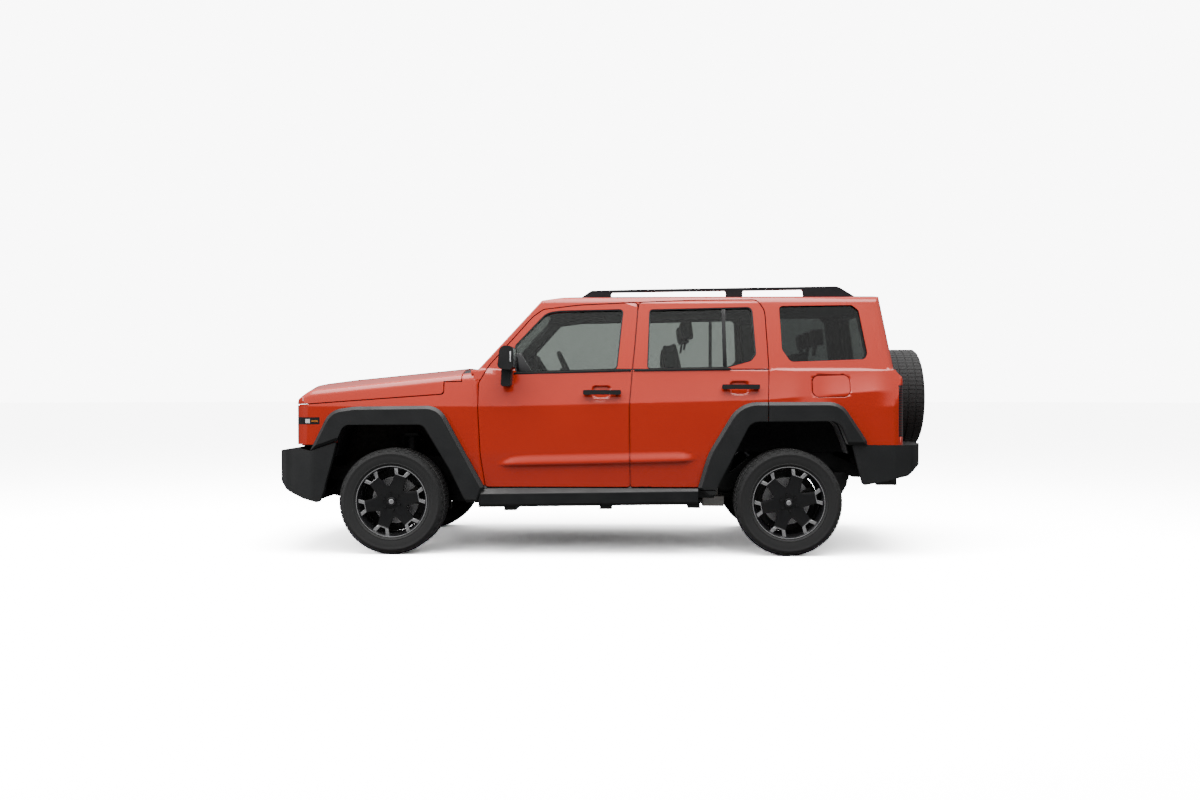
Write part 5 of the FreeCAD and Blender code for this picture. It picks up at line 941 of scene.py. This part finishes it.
class OFFROAD_OT_seals(bpy.types.Operator):
    """Black rubber seals round the windows"""
    bl_idname = "offroad.seals"
    bl_label = "Window seals"

    def execute(self, context):
        for tag in ("front_door", "rear_door"):
            for side, _ in SIDES:
                self.reveal(f"{tag}_{side}", f"{tag}_glass_{side}")
        for side, s in SIDES:
            self.side_strips(side, s)
        return {"FINISHED"}

    def reveal(self, node, glass):
        """A layer of rubber on the faces of a door that frame its glass."""
        low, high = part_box(glass)
        heart = (low + high) / 2

        def frames_glass(f):
            spot = f.calc_center_median()
            inside = low.x - 0.001 < spot.x < high.x + 0.001 and low.z - 0.001 < spot.z < high.z + 0.001
            inward = (heart.x - spot.x) * f.normal.x + (heart.z - spot.z) * f.normal.z
            return inside and abs(f.normal.y) < 0.5 and inward > 0.0

        bm = plain_copy(node)
        bmesh.ops.delete(bm, geom=[f for f in bm.faces if not frames_glass(f)], context="FACES")
        if not bm.faces:
            raise RuntimeError(f"no face of {node} is left for its seal")
        bmesh.ops.delete(bm, geom=[v for v in bm.verts if not v.link_faces], context="VERTS")
        bm.normal_update()
        for v in bm.verts:
            v.co += v.normal * 0.0005
        bmesh.ops.solidify(bm, geom=bm.faces[:], thickness=-0.008)
        piece(f"seal_{glass}", bm, ["seal"], f"{node}_body", angle=25.0)

    def side_strips(self, side, s):
        """Belt weatherstrips, the rear door's division bar and the sail panel behind the mirror."""
        for tag, rows in BELT_STRIPS:
            strip = slab(bmesh.new(), rows, s * 0.856, s * 0.8755, 0.002)
            placed(f"belt_strip_{tag}_{side}", strip, ["seal"], f"{tag}_{side}_body")
        shear = Matrix(((1, 0, 0, 0), (0, 1, -s * LEAN, s * LEAN * BELT_Z), (0, 0, 1, 0), (0, 0, 0, 1)))
        for name, tag, rows in LEANING_TRIM:
            trim = slab(bmesh.new(), rows, s * 0.840, s * 0.8585, 0.0015)
            placed(f"{name}_{side}", trim, ["gloss"], f"{tag}_{side}_body", seat=shear)


# ---------------------------------------------------------------- lamps and small outside pieces
LAMP_RING = [(0.070, 0.0), (0.088, 0.0), (0.090, 0.004), (0.086, 0.008), (0.074, 0.008), (0.070, 0.005)]
LAMP_EYE = [(0.0, 0.010), (0.020, 0.0085), (0.033, 0.003), (0.036, 0.0), (0.0, 0.0)]
EYE_RING = [(0.036, 0.0), (0.042, 0.006), (0.048, 0.006), (0.050, 0.0)]


class OFFROAD_OT_lamps(bpy.types.Operator):
    """Headlamp bowls, rings and lenses, side lamp details, reflectors and mirror glasses"""
    bl_idname = "offroad.lamps"
    bl_label = "Lamps and mirrors"

    def execute(self, context):
        for side, s in SIDES:
            self.headlamp(side, s)
            laid_on(f"side_lamp_light_{side}", "front_lamps", s, (-2.050, 0.914), (-2.018, 0.942), "diode")
            laid_on(f"side_lamp_amber_{side}", "front_lamps", s, (-2.008, 0.922), (-1.962, 0.934), "amber")
            self.mirror(side, s)
            self.tail(side, s)
        return {"FINISHED"}

    def headlamp(self, side, s):
        """A bright ring round a lens that twelve spokes hold."""
        bm = bmesh.new()
        revolve(bm, LAMP_RING, 64)
        revolve(bm, LAMP_EYE, 48, False, 1)
        revolve(bm, EYE_RING, 48, True, 2)
        for turn in range(12):
            out = Vector((math.cos(math.tau * turn / 12), 0.0, math.sin(math.tau * turn / 12)))
            bar(bm, 0.051 * out + Vector((0, 0.001, 0)), 0.069 * out + Vector((0, 0.001, 0)), 0.0015, 8, 2)
        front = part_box("front_lamps")[0].x
        seat = Matrix.Translation((front + 0.001, s * 0.654, 0.884)) @ Matrix.Rotation(math.pi / 2, 4, "Z")
        placed(f"headlamp_rings_{side}", bm, ["diode", "lens", "chrome"], "vehicle", seat=seat)

    def mirror(self, side, s):
        """Mirror glass and the indicator strip on its head."""
        body = f"front_door_{side}_body"
        glass = block(bmesh.new(), (-0.5835, s * 0.930, 1.300), (-0.5795, s * 1.072, 1.425), 0.0015)
        placed(f"mirror_glass_{side}", glass, ["chrome"], body)
        strip = block(bmesh.new(), (-0.604, s * 1.087, 1.335), (-0.596, s * 1.0905, 1.405), 0.001)
        placed(f"mirror_indicator_{side}", strip, ["diode"], body)

    def tail(self, side, s):
        """Bright upper end and reflector of the tail lamp."""
        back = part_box("tail_lamps")[1].x
        for name, z0, z1, key, slot in (("tail_lamp_top", 1.134, 1.172, "lens", "lamp_clear"),
                                        ("tail_reflector", 0.832, 0.872, "reflex", "lamp_red")):
            bm = block(bmesh.new(), (back - 0.003, s * 0.735, z0), (back + 0.002, s * 0.815, z1), 0.0015)
            placed(f"{name}_{side}", bm, [key], "vehicle")


LEVER_BOOT = [(0.0, 0.0), (0.052, 0.0), (0.046, 0.014), (0.030, 0.026), (0.013, 0.034), (0.0, 0.034)]
LEVER_KNOB = [(0.0, 0.030), (0.007, 0.030), (0.006, 0.090), (0.017, 0.100), (0.025, 0.116), (0.025, 0.130),
              (0.015, 0.142), (0.0, 0.144)]


class OFFROAD_OT_extras(bpy.types.Operator):
    """Blank plates, high stop lamp, screens, gear lever and door armrests"""
    bl_idname = "offroad.extras"
    bl_label = "Plates and cabin pieces"

    def execute(self, context):
        front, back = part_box("front_bumper")[0].x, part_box("rear_bumper")[1].x
        for name, x, z in (("front", front - 0.003, 0.575), ("rear", back - 0.001, 0.635)):
            bm = block(bmesh.new(), (x, -0.235, z), (x + 0.004, 0.235, z + 0.110), 0.001, 1)
            block(bm, (x - 0.002, -0.228, z + 0.007), (x + 0.006, 0.228, z + 0.103), 0.001)
            placed(f"blank_plate_{name}", bm, ["plate", "gloss"], "vehicle")
        stop_lamp = block(bmesh.new(), (1.964, -0.16, 1.792), (1.9755, 0.16, 1.803), 0.002)
        placed("high_stop_lamp", stop_lamp, ["tail"], "vehicle")
        self.screen("centre_screen", Vector((-0.606, -0.14, 1.185)), Vector((-0.592, 0.17, 1.312)))
        self.screen("driver_screen", Vector((-0.632, -0.52, 1.190)), Vector((-0.618, -0.22, 1.296)))
        bm = bmesh.new()
        revolve(bm, LEVER_BOOT, 32, False)
        revolve(bm, LEVER_KNOB, 32, False, 1)
        seat = Matrix.Translation((-0.30, 0.0, 0.922)) @ Matrix.Rotation(math.pi / 2, 4, "X")
        placed("gear_lever", bm, ["leather", "gloss"], "vehicle", seat=seat)
        for side, s in SIDES:
            for tag, start, end in (("front_door", -0.46, 0.10), ("rear_door", 0.33, 0.80)):
                rows = [(start, 0.925), (end, 0.945), (end - 0.03, 0.992), (start + 0.10, 1.0),
                        (start, 0.955)]
                rest = slab(bmesh.new(), rows, s * 0.795, s * 0.728, 0.008)
                placed(f"armrest_{tag}_{side}", rest, ["leather"], f"{tag}_{side}_body")
        return {"FINISHED"}

    def screen(self, name, low, high):
        """A display in its frame, leaning back."""
        edge = Vector((0.0, 0.008, 0.008))
        bm = block(bmesh.new(), low, high, 0.004, 1)
        block(bm, Vector((high.x - 0.004, low.y, low.z)) + edge, high - edge + Vector((0.001, 0, 0)), 0.001)
        foot = Vector((low.x, 0.0, low.z))
        lean_back = Matrix.Rotation(math.radians(-12), 4, "Y")
        placed(name, bm, ["screen", "dash"], "vehicle",
               seat=Matrix.Translation(foot) @ lean_back @ Matrix.Translation(-foot))


class OFFROAD_OT_wipers(bpy.types.Operator):
    """Windscreen wipers parked on the cowl"""
    bl_idname = "offroad.wipers"
    bl_label = "Wipers"

    def execute(self, context):
        bm = bmesh.new()
        for y0, y1 in ((-0.66, -0.04), (0.02, 0.60)):
            bar(bm, (-0.905, y0 + 0.50, 1.268), (-0.880, y0 + 0.30, 1.292), 0.006)
            bar(bm, (-0.880, y0 + 0.30, 1.292), (-0.862, (y0 + y1) / 2, 1.297), 0.005)
            bar(bm, (-0.874, y0, 1.290), (-0.858, y1, 1.296), 0.006, 8)
        placed("windscreen_wipers", bm, ["satin"], "vehicle")
        return {"FINISHED"}


# ---------------------------------------------------------------- seats
def pad(name, size, seat, crown, bolster=0.0, seams=()):
    """A leather cushion: a box drawn in between its corners, crowned, bolstered and sewn."""
    bm = bmesh.new()
    bmesh.ops.create_cube(bm, size=2.0)
    bmesh.ops.subdivide_edges(bm, edges=bm.edges[:], cuts=11, use_grid_fill=True)
    for v in bm.verts:
        a, b, c = v.co
        side = max(0.0, abs(b) - 0.62) / 0.38
        up = crown * (1 - a ** 4) * (1 - b ** 4) + bolster * side * (1 - a ** 6)
        for seam in seams:
            up -= 0.006 * math.exp(-((a - seam) / 0.045) ** 2) * (1 - b ** 6) if c > 0 else 0.0
        draw_in = (1 - 0.035 * (1 - c * c)) * (1 - 0.05 * (abs(a * b) ** 3))
        thin = 1 - 0.12 * max(abs(a), abs(b)) ** 6
        v.co = Vector((a * draw_in * size[0] / 2, b * draw_in * size[1] / 2,
                       c * size[2] / 2 * thin + (up if c > 0 else 0.15 * up * c)))
    for factor in (0.5, 0.4):
        bmesh.ops.smooth_vert(bm, verts=bm.verts, factor=factor, use_axis_x=True, use_axis_y=True,
                              use_axis_z=True)
    bmesh.ops.transform(bm, matrix=seat, verts=bm.verts)
    piece(name, bm, ["leather"], "vehicle", angle=80.0)


def lean(x, z, y, degrees):
    """A seat back's own axes: X down the back, Z out of its front."""
    return Matrix.Translation((x, y, z)) @ Matrix.Rotation(math.radians(degrees), 4, "Y")


def head_rods(bm, x, z, y, apart):
    """The two rods that carry a head restraint."""
    for d in (-apart, apart):
        cone(bm, 12, 0.007, 0.007, 0.09, lean(x, z, y + d, 8.0))


class OFFROAD_OT_seats(bpy.types.Operator):
    """Front seats and the rear bench: cushions, backs, head restraints and plinths"""
    bl_idname = "offroad.seats"
    bl_label = "Seats"

    def execute(self, context):
        bm = bmesh.new()
        floor_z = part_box("front_seats")[0].z
        for side, s in SIDES:
            y = s * 0.370
            pad(f"front_cushion_{side}", (0.50, 0.49, 0.12), lean(0.215, 0.850, y, 3.0), 0.012, 0.03,
                (-0.35, 0.1, 0.5))
            pad(f"front_back_{side}", (0.60, 0.48, 0.10), lean(0.545, 1.185, y, -101.0), 0.012, 0.03,
                (-0.6, -0.3, 0.0, 0.3))
            pad(f"front_head_{side}", (0.135, 0.26, 0.08), lean(0.620, 1.580, y, -98.0), 0.01)
            block(bm, (0.02, y - 0.17, floor_z), (0.44, y + 0.17, 0.79), 0.012)
            head_rods(bm, 0.607, 1.485, y, 0.06)
        piece("front_seat_plinths", bm, ["dash"], "vehicle", "front_seats")
        bm = bmesh.new()
        places = (-0.36, 0.0, 0.36)
        for i, y in enumerate(places):
            pad(f"rear_head_{i}", (0.12, 0.24, 0.07), lean(1.572, 1.527, y, -96.0), 0.01)
            head_rods(bm, 1.557, 1.440, y, 0.05)
        for i, y in enumerate(places):
            pad(f"rear_cushion_{i}", (0.46, 0.355, 0.14), lean(1.160, 0.868, y, 3.0), 0.012, 0.008,
                (-0.4, 0.1, 0.55))
            pad(f"rear_back_{i}", (0.52, 0.355, 0.10), lean(1.485, 1.165, y, -102.0), 0.012, 0.01,
                (-0.6, -0.2, 0.2))
        block(bm, (0.99, -0.53, 0.795), (1.40, 0.53, 0.812), 0.004)
        piece("rear_seat_frame", bm, ["dash"], "vehicle", "rear_seat")
        return {"FINISHED"}


# ---------------------------------------------------------------- the add-on
class OFFROAD_PT_panel(bpy.types.Panel):
    """Lists the dressing steps and their settings"""
    bl_label = "Off-road 4x4"
    bl_space_type = "VIEW_3D"
    bl_region_type = "UI"
    bl_category = "Off-road 4x4"

    def draw(self, context):
        for group in GROUPS:
            box = self.layout.box()
            for key in getattr(context.scene, group).bl_rna.properties.keys():
                if key not in ("rna_type", "name"):
                    box.prop(getattr(context.scene, group), key)
        for step in STEPS:
            self.layout.operator(step.bl_idname)


GROUPS = {"offroad_finishes": FinishSettings, "offroad_wheels": WheelSettings,
          "offroad_studio": StudioSettings}
STEPS = (OFFROAD_OT_studio, OFFROAD_OT_finishes, OFFROAD_OT_panels, OFFROAD_OT_tyres, OFFROAD_OT_alloys,
         OFFROAD_OT_shields, OFFROAD_OT_seals, OFFROAD_OT_lamps, OFFROAD_OT_extras, OFFROAD_OT_wipers,
         OFFROAD_OT_seats)


def register():
    for group in GROUPS.values():
        bpy.utils.register_class(group)
    for step in STEPS + (OFFROAD_PT_panel,):
        bpy.utils.register_class(step)
    for name, group in GROUPS.items():
        setattr(bpy.types.Scene, name, PointerProperty(type=group))


def unregister():
    for name in GROUPS:
        delattr(bpy.types.Scene, name)
    for step in (OFFROAD_PT_panel,) + STEPS[::-1]:
        bpy.utils.unregister_class(step)
    for group in GROUPS.values():
        bpy.utils.unregister_class(group)


def main():
    register()
    for step in STEPS:
        family, name = step.bl_idname.split(".")
        getattr(getattr(bpy.ops, family), name)()


if __name__ == "__main__":
    main()
